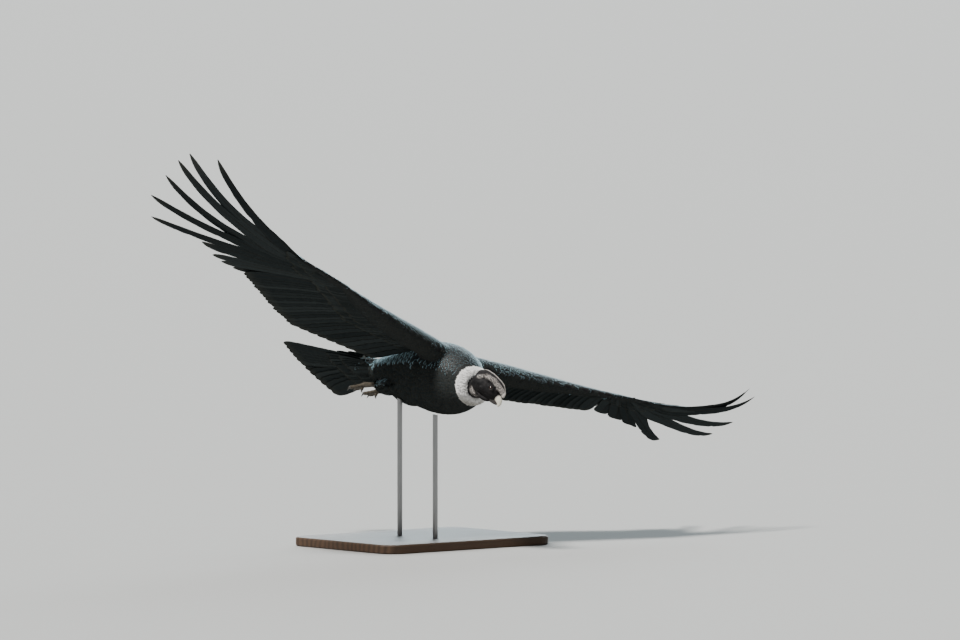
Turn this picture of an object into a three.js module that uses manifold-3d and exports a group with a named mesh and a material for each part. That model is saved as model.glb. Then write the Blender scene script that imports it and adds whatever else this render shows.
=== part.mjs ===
// A life-size Andean condor, an adult male gliding and banked to its left, on a display stand.
// Millimetres, +Z up. The floor is Z = 0 and the origin is under the middle of the base.
// The bird is modelled in its own frame: +X towards its head, +Y to its left, +Z up its back.
import * as THREE from "three";
import { mergeVertices } from "three/addons/utils/BufferGeometryUtils.js";
import Module from "manifold-3d";

const wasm = await Module();
wasm.setup();

// Attitude of the whole bird
const BODY_HEIGHT = 615; // body centre above the floor
const BANK = 20.3; // left wing down, degrees
const PITCH = 0.25; // beak up, degrees

// What touching pieces keep between them
const GAP = 0.35;
const SLIVER = 0.04; // edges that unions leave shorter than this are closed up

// Arm and hand. The wrist lies on the arm's line, the elbow behind it.
const SHOULDER = { x: 150, y: 90, z: 50 };
const ARM_LENGTH = 540;
const HAND_LENGTH = 200;
const ELBOW = { along: 250, back: 90 };
const ELBOW_SHARE = 0.46; // where the upper arm ends, as a share of the arm

// Each wing's own pose, in degrees. Forward and up turn the bones, droop lowers the hind edge.
// fan is each primary's angle from the hand, and bend its tip's rise as a share of its length,
// both by the primary's number. armFan is the outermost secondary's angle from straight back.
const WINGS = {
  right: { side: -1, armForward: 9.8, armUp: 6.2, handForward: 0.7, handUp: 6.4, armDroop: 8.3,
    tipDroop: 26.5, armFan: 19,
    fan: [[1, 63], [3, 50], [4, 38], [5, 29.5], [6, 20.5], [7, 17.5], [8, 7.3], [9, 3.2], [10, -7]],
    bend: [[1, 0.02], [5, 0.055], [6, 0.1], [7, 0.24], [8, 0.25], [9, 0.3], [10, 0.26]] },
  left: { side: 1, armForward: 16.3, armUp: 8, handForward: -0.6, handUp: 8.6, armDroop: 7.6,
    tipDroop: 45.3, armFan: 15,
    fan: [[1, 60], [3, 48], [4, 43], [5, 36], [6, 19.5], [7, 10], [8, -1.3], [10, -5]],
    bend: [[1, 0.04], [5, 0.12], [6, 0.122], [7, 0.14], [8, 0.22], [9, 0.285], [10, 0.25]] },
};

// Flight feathers. Primaries are counted from the wrist outwards.
const PRIMARIES = 10;
const PRIMARY_LENGTHS = [[1, 420], [2, 432], [3, 438], [4, 461], [5, 640], [6, 664], [7, 616],
  [8, 614], [9, 577], [10, 512]];
const FIRST_FINGER = 5; // primaries from this one on are narrowed towards the tip
const FINGER_FREE = [0.3, 0.6]; // where along it a finger leaves its neighbours
const PRIMARY_WIDTH = 66;
const BEND_POWER = 3;
const SECONDARY = { count: 13, length: 375, width: 58, thick: 1.4 };
const TERTIAL = { count: 7, spacing: 32, length: 374, shorter: 5, width: 66, thick: 1.4 };
const ARM_FAN = { elbow: 3, shoulder: -20 }; // as armFan, where the arm bends and where it starts
const CAMBER = { start: 40, depth: 430, rise: 14 };
const SHINGLE = 0.09; // each vane's slope across, leading edge up
const COVERT_THICK = 1.1;

// Rows of coverts: how many, from which to which flight feather, where their roots lie along that
// feather, their length and width, and their height over it at the root and at the tip
const ARM_ROWS = [
  { count: 9, from: 0.6, to: 12.5, start: 6, length: 150, width: 50, levels: [7, 5.7] },
  { count: 6, from: 0.9, to: 12.2, start: -8, length: 84, width: 62, levels: [9, 11] },
  { count: 7, from: 0.9, to: 12.3, start: 4, length: 122, width: 58, levels: [-6.5, -5.7] },
];
const UPPER_ROWS = [
  { count: 5, from: -6.2, to: -0.5, start: -6, length: 168, width: 56, levels: [8, 6] },
  { count: 4, from: -5.8, to: -0.7, start: 4, length: 130, width: 58, levels: [-6.5, -6] },
];
const HAND_ROWS = [
  { count: 6, from: 2, to: 9, start: 5, length: 155, width: 45, levels: [4.7, 6.1] },
  { count: 5, from: 2, to: 8.7, start: 5, length: 124, width: 48, levels: [-4.7, -6.1] },
];
const ALULA = { count: 3, length: 122, shorter: 17, width: 24, start: 36, spacing: 10 };

// Outlines of feathers: half width by place along, as shares
const BROAD = [[0, 0.3], [0.16, 0.64], [0.4, 1], [0.84, 0.94], [1, 0.3]];
const FINGER = [[0, 0.3], [0.26, 1], [0.38, 0.84], [0.52, 0.6], [0.86, 0.44], [1, 0.08]];
const COVERT = [[0, 0.45], [0.62, 1], [1, 0.3]];
const BROAD_AT = [0, 0.4, 0.84, 1];
const FINGER_AT = [0, 0.26, 0.38, 0.52, 0.86, 1];
const COVERT_AT = [0, 0.62, 1];

// The fleshed wing by share along the bone: how far it reaches in front of and behind the
// bone's line, how thick it is, and how far its front edge turns down
const ARM_FLESH = { front: [[0, 66], [0.25, 52], [0.6, 34], [1, 24]],
  hind: [[0, 76], [0.2, 100], [0.46, 128], [0.75, 92], [1, 42]],
  thick: [[0, 94], [0.25, 92], [0.5, 78], [0.8, 50], [1, 32]], nose: [[0, 14], [1, 8]] };
const HAND_FLESH = { front: [[0, 23], [0.5, 20], [1, 13], [1.2, 6]],
  hind: [[0, 42], [0.5, 36], [1, 22], [1.2, 8]],
  thick: [[0, 28], [0.5, 22], [1, 16], [1.2, 5]], nose: [[0, 8], [1, 2]],
  start: -0.03, end: 1.2 }; // it starts inside the arm, which then cuts it to fit

// Body sections from the neck to the rump: place along the body, half width, top and bottom
const TORSO_SECTIONS = [
  [312, 44, 2, -92],
  [292, 68, 34, -127],
  [250, 98, 72, -145],
  [190, 122, 100, -157],
  [120, 131, 112, -156],
  [40, 126, 106, -141],
  [-50, 108, 88, -118],
  [-140, 84, 64, -92],
  [-210, 62, 44, -70],
  [-258, 46, 30, -52],
];

const TAIL = { x: -240, z: 9, pairs: 6, rootSpacing: 5.7, spread: 17, middle: 414, outer: 396,
  width: 62, thick: 1.3, step: 1.8, roll: -19, pitch: -3 };
const TAIL_CORE = [[-10, 44, 16, -30], [30, 56, 9, -22], [60, 48, 4, -15], [100, 24, 1, -10]];
const TAIL_ROWS = [
  { pairs: 2, every: 2.2, start: 20, length: 165, width: 66, level: 3.7, step: 1.6 },
  { pairs: 2, every: 2.2, start: 10, length: 190, width: 68, level: -10.8, step: -1.6 },
];

// Head, placed and turned in the bird's frame. Its own frame has x along the face, y to its
// left and z towards the crown.
const HEAD_AT = new THREE.Vector3(415, -18, -58);
const HEAD_FORWARD = new THREE.Vector3(0.76, 0.461, -0.444);
const HEAD_CROWN = new THREE.Vector3(0.28, 0.2, 0.94);
const HEAD_SECTIONS = [
  [-72, 15, 10, -24],
  [-60, 25, 21, -32],
  [-38, 30, 27, -35],
  [-12, 31, 29, -34],
  [12, 28, 25, -33],
  [27, 21, 16, -30],
  [39, 13, 7, -26],
];
const EYE = { x: 10, y: 22.5, z: 3, radius: 9.5, lid: 2.4 };
// Folds of bare skin: place on the head's side, then half length and half height
const FOLDS = [[-40, 23, 14, 9, 8], [-18, 25, 16, 9, 7], [26, 16, 11, 7, 6], [-38, 25, -8, 8, 8],
  [-18, 27, -17, 10, 6]];
const COMB = { half: 10, start: -77, end: 58, rings: 10,
  top: [[0, 27], [0.1, 43], [0.24, 49], [0.42, 50], [0.62, 48], [0.77, 44], [0.88, 37], [1, 20]],
  foot: [[0, 11], [0.1, 8], [0.26, 16], [0.45, 20], [0.7, 15], [0.88, 7], [1, 6]] };

// The ruff of down: a soft core with two rows of locks that curl out over it
const RUFF = { x: 306, y: -3, z: -47, radius: 46, core: 15, sides: 14 };
const RUFF_TIERS = [
  { locks: 12, offset: 0, from: 0.7, to: -1.1, reach: 20, half: 16.5 },
  { locks: 12, offset: 0.5, from: 1.8, to: 0, reach: 24, half: 16 },
];

const TOES = [
  { out: 15, length: 64, thick: 6 },
  { out: 0, length: 80, thick: 6.6 },
  { out: -14, length: 60, thick: 6 },
];

const BASE = { length: 760, width: 560, height: 32, corner: 60, bevel: 5 };
const ROD_RADIUS = 9;
const ROD_PLACES = { stand_rod_front: 120, stand_rod_back: -75 }; // along the body
const ROD_SIDE = -40; // towards the high wing, under the keel

const rad = THREE.MathUtils.degToRad;
const mix = THREE.MathUtils.lerp;
const vec = (x, y, z) => new THREE.Vector3(x, y, z);
const range = (count) => Array.from({ length: count }, (_, i) => i);
const step = (from, ...moves) => moves.reduce(
  (at, [direction, distance]) => at.addScaledVector(direction, distance), from.clone());
const blend = (...parts) => step(vec(0, 0, 0), ...parts);

// The value at t between [place, value] stops. Past the ends it runs on when open is set.
function ramp(stops, t, open = false) {
  const found = stops.findIndex(([place]) => place >= t);
  const next = found < 0 ? stops.length - 1 : Math.max(1, found);
  const [[a, from], [b, to]] = [stops[next - 1], stops[next]];
  const share = (t - a) / (b - a);
  return mix(from, to, open ? share : THREE.MathUtils.clamp(share, 0, 1));
}

// Small variation about 1, the same each time for the same piece
const vary = (i, amount) => 1 + amount * Math.sin(i * 78.2 + 4);

// Closed solids

// A closed skin over rings of equal count. Strips named in flipped take the other diagonal.
function loft(rings, flipped = []) {
  const count = rings[0].length;
  const points = rings.flat();
  const triangles = [];
  for (let i = 0; i < rings.length - 1; i++) {
    for (let j = 0; j < count; j++) {
      const [a, b] = [i * count + j, i * count + ((j + 1) % count)];
      const [c, d] = [a + count, b + count];
      if (flipped.includes(j)) triangles.push([a, b, c], [b, d, c]);
      else triangles.push([a, b, d], [a, d, c]);
    }
  }
  const last = points.length - count;
  for (let j = 1; j < count - 1; j++) {
    triangles.push([0, j + 1, j], [last, last + j, last + j + 1]);
  }
  const volume = triangles.reduce((sum, [a, b, c]) => (
    sum + points[a].dot(points[b].clone().cross(points[c]))), 0);
  return new wasm.Manifold(new wasm.Mesh({
    numProp: 3,
    vertProperties: new Float32Array(points.flatMap((p) => [p.x, p.y, p.z])),
    triVerts: new Uint32Array(triangles.flatMap(([a, b, c]) => (volume < 0 ? [a, c, b] : [a, b, c]))),
  }));
}

function solidOf(geometry) {
  const plain = new THREE.BufferGeometry();
  plain.setAttribute("position", geometry.getAttribute("position"));
  if (geometry.index) plain.setIndex(geometry.index);
  const merged = mergeVertices(plain, 1e-3);
  return new wasm.Manifold(new wasm.Mesh({
    numProp: 3,
    vertProperties: merged.getAttribute("position").array,
    triVerts: new Uint32Array(merged.index.array),
  }));
}

const joined = (solids) => wasm.Manifold.union(solids);
const largest = (solid) => solid.decompose().reduce((a, b) => (b.volume() > a.volume() ? b : a));
const cut = (solid, ...others) => largest(others.reduce((left, other) => left.subtract(other), solid));

// An ellipsoid with its sizes along three axes
function blob(centre, sizes, axes, grow, segments = 8) {
  const geometry = new THREE.SphereGeometry(1, segments, Math.max(5, segments - 2));
  const [x, y, z] = axes.map((axis, i) => axis.clone().multiplyScalar(sizes[i] + grow));
  geometry.applyMatrix4(new THREE.Matrix4().makeBasis(x, y, z).setPosition(centre));
  return solidOf(geometry);
}

// A ring round an axis
function ringAbout(centre, axis, radius, tube, sides) {
  const geometry = new THREE.TorusGeometry(radius, tube, 5, sides);
  const turn = new THREE.Quaternion().setFromUnitVectors(vec(0, 0, 1), axis.clone().normalize());
  geometry.applyQuaternion(turn);
  geometry.translate(centre.x, centre.y, centre.z);
  return solidOf(geometry);
}

// A tube of round sections along a curve, with a radius at each share of it
function limb(points, radii, steps, sides, grow = 0, flatten = 1) {
  const curve = new THREE.CatmullRomCurve3(points);
  const frames = curve.computeFrenetFrames(steps);
  return loft(range(steps + 1).map((i) => {
    const t = i / steps;
    const radius = ramp(radii, t) + grow;
    const past = i === 0 ? -grow : i === steps ? grow : 0;
    const centre = step(curve.getPoint(t), [frames.tangents[i], past]);
    return range(sides).map((j) => {
      const a = (2 * Math.PI * j) / sides;
      return step(centre, [frames.normals[i], radius * Math.cos(a)],
        [frames.binormals[i], radius * flatten * Math.sin(a)]);
    });
  }));
}

// A body of oval sections [place, half width, top, bottom] set out by a placing function
function ovals(sections, place, sides, grow) {
  return loft(sections.map(([x, half, top, bottom], i) => {
    const past = i === 0 ? Math.sign(x - sections[1][0]) : i === sections.length - 1
      ? Math.sign(x - sections[i - 1][0]) : 0;
    return range(sides).map((j) => {
      const a = (2 * Math.PI * j) / sides;
      return place(x + past * grow, (half + grow) * Math.cos(a),
        (top + bottom) / 2 + ((top - bottom) / 2 + grow) * Math.sin(a));
    });
  }));
}

// Feathers

// A thin plate from stations {lead, trail} that each hold the place and the upward direction of
// one edge, and the half thickness there
function plate(stations) {
  return loft(stations.map(({ lead, trail, up, half }) => [
    step(lead, [up, half]), step(lead, [up, -half]), step(trail, [up, -half]), step(trail, [up, half]),
  ]), [1]);
}

// A vane that lies on a sheet of feathers. point(q, s, lift) is a place on the sheet: q counts
// feathers across it, s runs from the root outwards and lift stands off it.
function vane(point, q, f, grow) {
  return plate(f.stations.map((t, i) => {
    const past = i === 0 ? -grow : i === f.stations.length - 1 ? grow : 0;
    const s = f.start + f.length * t + past;
    const spacing = point(q + 0.5, s, 0).distanceTo(point(q - 0.5, s, 0));
    const width = ramp(f.shape, t);
    const level = mix(f.levels[0], f.levels[1], t);
    const at = point(q, s, level);
    const up = step(point(q, s, level + 1), [at, -1]);
    const along = step(point(q, s + 1, level), [at, -1]);
    const outward = step(point(q + 0.5, s, level), [at, -1]);
    const across = up.clone().cross(along).normalize();
    const free = f.free ? THREE.MathUtils.smoothstep(t, ...f.free) : 0;
    const edge = (x) => {
      const place = Math.max(q + x / spacing, f.limit ?? -Infinity);
      const flat = step(at, [across, x * Math.sign(across.dot(outward))], [up, x * f.slope]);
      return point(place, s, level + (place - q) * spacing * f.slope).lerp(flat, free);
    };
    return { lead: edge(f.lead * width + grow), trail: edge(-f.trail * width - grow), up,
      half: (f.thick * mix(1, 0.55, t)) / 2 + grow };
  }));
}

const feather = (width, leadShare, thick, shape, stations) => ({ start: 0, lead: width * leadShare,
  trail: width * (1 - leadShare), thick, shape, stations, levels: [0, 0], slope: SHINGLE });

// A row of coverts over or under the flight feathers
function coverts(point, row, grow) {
  return range(row.count).map((i) => vane(point, mix(row.from, row.to, i / (row.count - 1)), {
    ...feather(row.width, 0.45, COVERT_THICK, COVERT, COVERT_AT), start: row.start,
    length: row.length * vary(i, 0.04), levels: row.levels }, grow));
}

// Wings

const BACK = vec(-1, 0, 0);
const UP = vec(0, 0, 1);
const normalOf = (back, bone) => {
  const normal = back.clone().cross(bone).normalize();
  return normal.dot(UP) < 0 ? normal.negate() : normal;
};
// From the front edge to the hind edge, square to a bone and lowered by droop
const hindward = (bone, droop) => {
  const back = step(BACK, [bone, -BACK.dot(bone)]).normalize();
  return blend([back, Math.cos(rad(droop))], [normalOf(back, bone), -Math.sin(rad(droop))]);
};

function wingFrame(pose) {
  const reach = (forward, rise) => vec(Math.sin(rad(forward)) * Math.cos(rad(rise)),
    pose.side * Math.cos(rad(forward)) * Math.cos(rad(rise)), Math.sin(rad(rise)));
  const arm = reach(pose.armForward, pose.armUp);
  const hand = reach(pose.handForward, pose.handUp);
  const armBack = hindward(arm, pose.armDroop);
  const shoulder = vec(SHOULDER.x, pose.side * SHOULDER.y, SHOULDER.z);
  return { ...pose, arm, hand, armBack, shoulder, armNormal: normalOf(armBack, arm),
    wrist: step(shoulder, [arm, ARM_LENGTH]) };
}

// How far the feathers' sheet arches at a distance behind the bone's line
function camber(behind) {
  const t = THREE.MathUtils.clamp((behind - CAMBER.start) / CAMBER.depth, 0, 1);
  return CAMBER.rise * 4 * t * (1 - t);
}

// The arm's sheet. q is 0 at the elbow, rises to the wrist and falls to the shoulder.
function armPoint(w, q, s, lift) {
  const outward = q / SECONDARY.count;
  const inward = (-q * TERTIAL.spacing) / Math.hypot(ELBOW.along, ELBOW.back);
  const [along, back] = q > 0
    ? [mix(ELBOW.along, ARM_LENGTH, outward), mix(ELBOW.back, 0, outward)]
    : [mix(ELBOW.along, 0, inward), mix(ELBOW.back, 0, inward)];
  const fan = rad(q > 0 ? mix(ARM_FAN.elbow, w.armFan, outward)
    : mix(ARM_FAN.elbow, ARM_FAN.shoulder, inward));
  const behind = back + s * Math.cos(fan);
  return step(w.shoulder, [w.arm, along + s * Math.sin(fan)], [w.armBack, behind],
    [w.armNormal, camber(behind) + lift]);
}

// The hand's sheet. q is the primary's number.
function handPoint(w, q, s, lift) {
  const outer = (q - 1) / (PRIMARIES - 1);
  const back = hindward(w.hand, mix(w.armDroop, w.tipDroop, outer));
  const fan = rad(ramp(w.fan, q, true));
  const length = ramp(PRIMARY_LENGTHS, q);
  const bend = length * ramp(w.bend, q, true) * Math.max(0, s / length) ** BEND_POWER;
  const arch = camber(s * Math.sin(fan)) * Math.max(0, 1 - outer * 1.5);
  return step(w.wrist, [w.hand, (HAND_LENGTH * (q - 0.5)) / PRIMARIES + s * Math.cos(fan)],
    [back, s * Math.sin(fan)], [normalOf(back, w.hand), bend + arch + lift]);
}

// One aerofoil section of the fleshed wing, from its rounded front to its thin hind edge
function aerofoil(at, back, up, flesh, v, arched, grow) {
  const [front, hind] = [ramp(flesh.front, v) + grow, ramp(flesh.hind, v) + grow * 1.5];
  const thick = ramp(flesh.thick, v);
  const nose = ramp(flesh.nose, v);
  const sides = 10;
  return range(sides).map((j) => {
    const a = (2 * Math.PI * (j + 0.5)) / sides;
    const u = (1 - Math.cos(a)) / 2;
    const depth = thick * 1.1 * u ** 0.45 * (1 - u) ** 0.75 + grow * 1.2;
    const behind = mix(-front, hind, u);
    return step(at, [back, behind],
      [up, Math.sign(Math.sin(a)) * depth - nose * (1 - u) ** 2 + (arched ? camber(behind) : 0)]);
  });
}

function armFlesh(w, from, to, grow) {
  const rings = 5;
  const ends = [from === 0 ? -0.06 : from - grow / ARM_LENGTH, to + grow / ARM_LENGTH];
  return loft(range(rings).map((i) => {
    const v = mix(ends[0], ends[1], i / (rings - 1));
    return aerofoil(step(w.shoulder, [w.arm, ARM_LENGTH * v]), w.armBack, w.armNormal,
      ARM_FLESH, v, true, grow);
  }));
}

function handFlesh(w, grow) {
  const rings = 5;
  return loft(range(rings).map((i) => {
    const v = mix(HAND_FLESH.start, HAND_FLESH.end, i / (rings - 1));
    const back = hindward(w.hand, mix(w.armDroop, w.tipDroop, Math.min(v, 1) * 0.8));
    return aerofoil(step(w.wrist, [w.hand, HAND_LENGTH * v]), back, normalOf(back, w.hand),
      HAND_FLESH, v, false, grow);
  }));
}

function primary(w, k, grow) {
  const finger = k >= FIRST_FINGER;
  const width = PRIMARY_WIDTH * (finger ? 1 : 0.88) * (k === PRIMARIES ? 0.8 : 1);
  const f = feather(width, k === PRIMARIES ? 0.25 : 0.4, 1.6, finger ? FINGER : BROAD,
    finger ? FINGER_AT : BROAD_AT);
  return vane((...at) => handPoint(w, ...at), k, { ...f, length: ramp(PRIMARY_LENGTHS, k),
    free: finger ? FINGER_FREE : null }, grow);
}

// The thumb's small feathers, along the hand's front edge
function alula(w, grow) {
  const back = hindward(w.hand, w.armDroop + 4);
  const up = normalOf(back, w.hand);
  return range(ALULA.count).map((i) => {
    const root = step(w.wrist, [w.hand, ALULA.start + ALULA.spacing * i], [up, 3.5 - 2.2 * i],
      [back, -8 + 2 * i]);
    const length = ALULA.length - ALULA.shorter * i;
    const along = blend([w.hand, 1], [up, 0.03], [back, 0.01 + 0.05 * i]).normalize();
    return plate(COVERT_AT.map((t) => {
      const half = (ALULA.width / 2) * ramp(COVERT, t) + grow;
      const at = step(root, [along, length * t]);
      return { lead: step(at, [back, -half], [up, half * SHINGLE]), trail: step(at, [back, half],
        [up, -half * SHINGLE]), up, half: COVERT_THICK / 2 + grow };
    }));
  });
}

function upperArm(w, grow) {
  const point = (...at) => armPoint(w, ...at);
  const tertials = range(TERTIAL.count).map((i) => vane(point, -0.5 - i, {
    ...feather(TERTIAL.width, 0.42, TERTIAL.thick, BROAD, BROAD_AT),
    length: TERTIAL.length - TERTIAL.shorter * i }, grow));
  return joined([armFlesh(w, 0, ELBOW_SHARE, grow), ...tertials,
    ...UPPER_ROWS.flatMap((row) => coverts(point, row, grow))]);
}

function forearm(w, grow) {
  const point = (...at) => armPoint(w, ...at);
  const secondaries = range(SECONDARY.count).map((i) => vane(point, i + 0.5, {
    ...feather(SECONDARY.width, 0.42, SECONDARY.thick, BROAD, BROAD_AT),
    length: SECONDARY.length * vary(i, 0.012) * mix(0.99, 1.04, i / SECONDARY.count) }, grow));
  return joined([armFlesh(w, ELBOW_SHARE + GAP / ARM_LENGTH, 1, grow), ...secondaries,
    ...ARM_ROWS.flatMap((row) => coverts(point, row, grow))]);
}

function hand(w, grow) {
  const point = (...at) => handPoint(w, ...at);
  return joined([handFlesh(w, grow), ...range(PRIMARIES).map((i) => primary(w, i + 1, grow)),
    ...HAND_ROWS.flatMap((row) => coverts(point, row, grow)), ...alula(w, grow)]);
}

// Body and tail

const torso = (grow) => ovals(TORSO_SECTIONS, vec, 16, grow);

function tailFrame() {
  const turn = new THREE.Matrix4().makeRotationX(rad(TAIL.roll))
    .multiply(new THREE.Matrix4().makeRotationY(rad(TAIL.pitch)));
  return { root: vec(TAIL.x, 0, TAIL.z), back: BACK.clone().applyMatrix4(turn),
    left: vec(0, 1, 0).applyMatrix4(turn), up: UP.clone().applyMatrix4(turn) };
}

// The tail lies in pairs, each under the one nearer the middle. Only the first right one
// crosses the middle line, on top of the left one.
function tail(grow) {
  const t = tailFrame();
  const fanned = (side) => (q, s, lift) => {
    const fan = rad(TAIL.spread * (q / (TAIL.pairs - 0.5)));
    return step(t.root, [t.back, s * Math.cos(fan)],
      [t.left, side * (q * TAIL.rootSpacing + s * Math.sin(fan))], [t.up, lift]);
  };
  const pair = (row, i, shape) => [-1, 1].map((side) => {
    const top = side < 0 && i === 0;
    const level = row.level + (top ? row.step : 0);
    return vane(fanned(side), row.every * (i + 0.5), { ...shape, slope: 0,
      limit: top ? -1.6 : 0.03, start: row.start, length: row.length,
      levels: [level - row.step * i + row.rise, level - row.step * i + row.rise] }, grow);
  });
  const feathers = range(TAIL.pairs).flatMap((i) => pair({ level: 0, rise: 0, step: TAIL.step,
    every: 1, start: 0, length: mix(TAIL.middle, TAIL.outer, i / (TAIL.pairs - 1)) }, i,
  feather(TAIL.width, 0.44, TAIL.thick, BROAD, BROAD_AT)));
  const rows = TAIL_ROWS.flatMap((row) => range(row.pairs).flatMap((i) => pair({ ...row,
    rise: row.step * (row.pairs - 1) }, i, feather(row.width, 0.45, COVERT_THICK, COVERT, COVERT_AT))));
  const core = ovals(TAIL_CORE, (x, y, z) => (
    step(t.root, [t.back, x], [t.left, y], [t.up, z])), 10, grow);
  return joined([core, ...feathers, ...rows]);
}

// Head and neck

const headX = HEAD_FORWARD.clone().normalize();
const headY = HEAD_CROWN.clone().cross(headX).normalize();
const headZ = headX.clone().cross(headY);
const headAxes = [headX, headY, headZ];
const onHead = (x, y, z) => step(HEAD_AT, [headX, x], [headY, y], [headZ, z]);

const eye = (side, grow) => blob(onHead(EYE.x, side * EYE.y, EYE.z),
  [EYE.radius, EYE.radius, EYE.radius], headAxes, grow, 8);

// The skull with a lid round each eye, the slit of the mouth and folds of bare skin: a row of
// ridges under the comb and a group of bulbs on the side of the neck's end
function head(grow) {
  const folds = [-1, 1].flatMap((side) => [
    ringAbout(onHead(EYE.x, side * (EYE.y + 4.5), EYE.z), headY, EYE.radius * 0.84, EYE.lid + grow, 11),
    ...FOLDS.map(([x, y, z, long, tall]) => (
      blob(onHead(x, side * y, z), [long, 5, tall], headAxes, grow, 6))),
  ]);
  const mouth = blob(onHead(34, 0, -16), [17, 40, 1.2], headAxes, -Math.min(grow, 0.3));
  return joined([ovals(HEAD_SECTIONS, onHead, 12, grow), ...folds]).subtract(mouth);
}

function comb(grow) {
  return loft(range(COMB.rings).map((i) => {
    const v = i / (COMB.rings - 1);
    const x = mix(COMB.start - grow, COMB.end + grow, v);
    const [top, foot] = [ramp(COMB.top, v) + grow, ramp(COMB.foot, v) - grow];
    const half = COMB.half * (0.5 + 0.5 * Math.sin(Math.PI * v)) + grow;
    return range(8).map((j) => {
      const a = (2 * Math.PI * j) / 8;
      return onHead(x, half * Math.cos(a), (top + foot) / 2 + ((top - foot) / 2) * Math.sin(a));
    });
  }));
}

function upperBill(grow) {
  const path = [onHead(24, 0, -7), onHead(38, 0, -7), onHead(52, 0, -12), onHead(61, 0, -20),
    onHead(64, 0, -31)];
  const bill = limb(path, [[0, 14], [0.35, 13], [0.6, 11], [0.82, 7], [1, 1.6]], 8, 10, grow);
  return grow ? bill : bill.subtract(blob(onHead(40, 0, -3), [5, 30, 2.4], headAxes, 0));
}

function lowerBill(grow) {
  const path = [onHead(26, 0, -24), onHead(40, 0, -24), onHead(51, 0, -24), onHead(57, 0, -23)];
  return limb(path, [[0, 11], [0.4, 9.5], [0.8, 6.5], [1, 2.5]], 5, 10, grow);
}

// The neck bends from the breast to the back of the head, with rolls of bare skin
const neckCurve = new THREE.CatmullRomCurve3([vec(262, 0, -34), vec(318, -4, -48),
  vec(358, -12, -52), onHead(-40, 0, -8)]);
function neck(grow) {
  const rolls = [[0.64, 33], [0.8, 30]].map(([t, radius]) => (
    ringAbout(neckCurve.getPoint(t), neckCurve.getTangent(t), radius, 4.4 + grow, 10)));
  const tube = limb(neckCurve.points, [[0, 44], [0.4, 39], [0.7, 33], [1, 28]], 5, 10, grow);
  return joined([tube, ...rolls]);
}

// The throat wattle hangs under the chin
const wattle = (grow) => limb([onHead(28, 0, -30), onHead(12, 0, -38), onHead(-10, 0, -41),
  onHead(-32, 0, -37)], [[0, 4], [0.3, 8], [0.7, 9], [1, 5]], 6, 8, grow, 0.8);

function ruff(grow) {
  const centre = vec(RUFF.x, RUFF.y, RUFF.z);
  const ahead = neckCurve.getTangent(0.42);
  const side = step(vec(0, 1, 0), [ahead, -ahead.y]).normalize();
  const above = ahead.clone().cross(side);
  const core = ringAbout(centre, ahead, RUFF.radius, RUFF.core + grow, RUFF.sides);
  const locks = RUFF_TIERS.flatMap((tier) => range(tier.locks).map((i) => {
    const turn = (2 * Math.PI * (i + tier.offset)) / tier.locks;
    const out = blend([side, Math.cos(turn)], [above, Math.sin(turn)]);
    const round = blend([side, -Math.sin(turn)], [above, Math.cos(turn)]);
    const reach = tier.reach * vary(i, 0.05);
    return plate([0, 0.5, 1].map((t) => {
      const curl = mix(tier.from, tier.to, t);
      const away = mix(RUFF.core - 4, reach, Math.sin(2 * t));
      const up = blend([out, Math.cos(curl)], [ahead, Math.sin(curl)]);
      const at = step(centre, [out, RUFF.radius], [up, away]);
      const half = tier.half * [0.8, 1, 0.3][2 * t] + grow;
      return { lead: step(at, [round, half], [up, half * 0.16]),
        trail: step(at, [round, -half], [up, -half * 0.16]), up, half: mix(1.3, 0.6, t) + grow };
    }));
  }));
  return joined([core, ...locks]);
}

// Legs, drawn back under the tail with the toes closed

const leg = (side, grow) => limb([vec(-30, side * 62, -80), vec(-90, side * 60, -84),
  vec(-140, side * 50, -80), vec(-176, side * 40, -72)],
[[0, 32], [0.3, 37], [0.7, 25], [1, 14]], 5, 10, grow);

function foot(side, grow) {
  const ankle = vec(-170, side * 39, -72);
  const ball = vec(-250, side * 34, -74);
  const shank = limb([ankle, ankle.clone().lerp(ball, 0.5), ball],
    [[0, 9.5], [0.5, 8.5], [1, 11]], 2, 7, grow);
  const toes = TOES.flatMap(({ out, length, thick }) => {
    const base = step(ball, [vec(0, 1, 0), out * 0.35]);
    const tip = vec(ball.x - length * 0.9, ball.y + out, ball.z - 14);
    const middle = step(base.clone().lerp(tip, 0.55), [UP, -2]);
    const claw = [step(tip, [BACK, -3], [UP, 1]), step(tip, [BACK, 9], [UP, -2]),
      step(tip, [BACK, 15], [UP, -12])];
    return [limb([base, middle, tip], [[0, thick * 1.15], [0.5, thick], [1, thick * 0.8]], 2, 6, grow),
      limb(claw, [[0, 4.2], [0.5, 3.3], [1, 0.8]], 2, 5, grow)];
  });
  const hindToe = limb([step(ball, [BACK, -6]), step(ball, [BACK, -8], [UP, -18]),
    step(ball, [BACK, -2], [UP, -30])], [[0, 7], [0.6, 5], [1, 0.9]], 4, 6, grow);
  return joined([shank, ...toes, hindToe]);
}

// The bird's frame in the world
const forward = vec(0, -Math.cos(rad(PITCH)), Math.sin(rad(PITCH)));
const level = vec(1, 0, 0);
const upright = forward.clone().cross(level);
const leftward = blend([level, Math.cos(rad(BANK))], [upright, -Math.sin(rad(BANK))]);
const backUp = blend([upright, Math.cos(rad(BANK))], [level, Math.sin(rad(BANK))]);
const birdMatrix = new THREE.Matrix4().makeBasis(forward, leftward, backUp)
  .setPosition(0, 0, BODY_HEIGHT);

// Stand: a bevelled board and two rods, in the world frame

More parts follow.
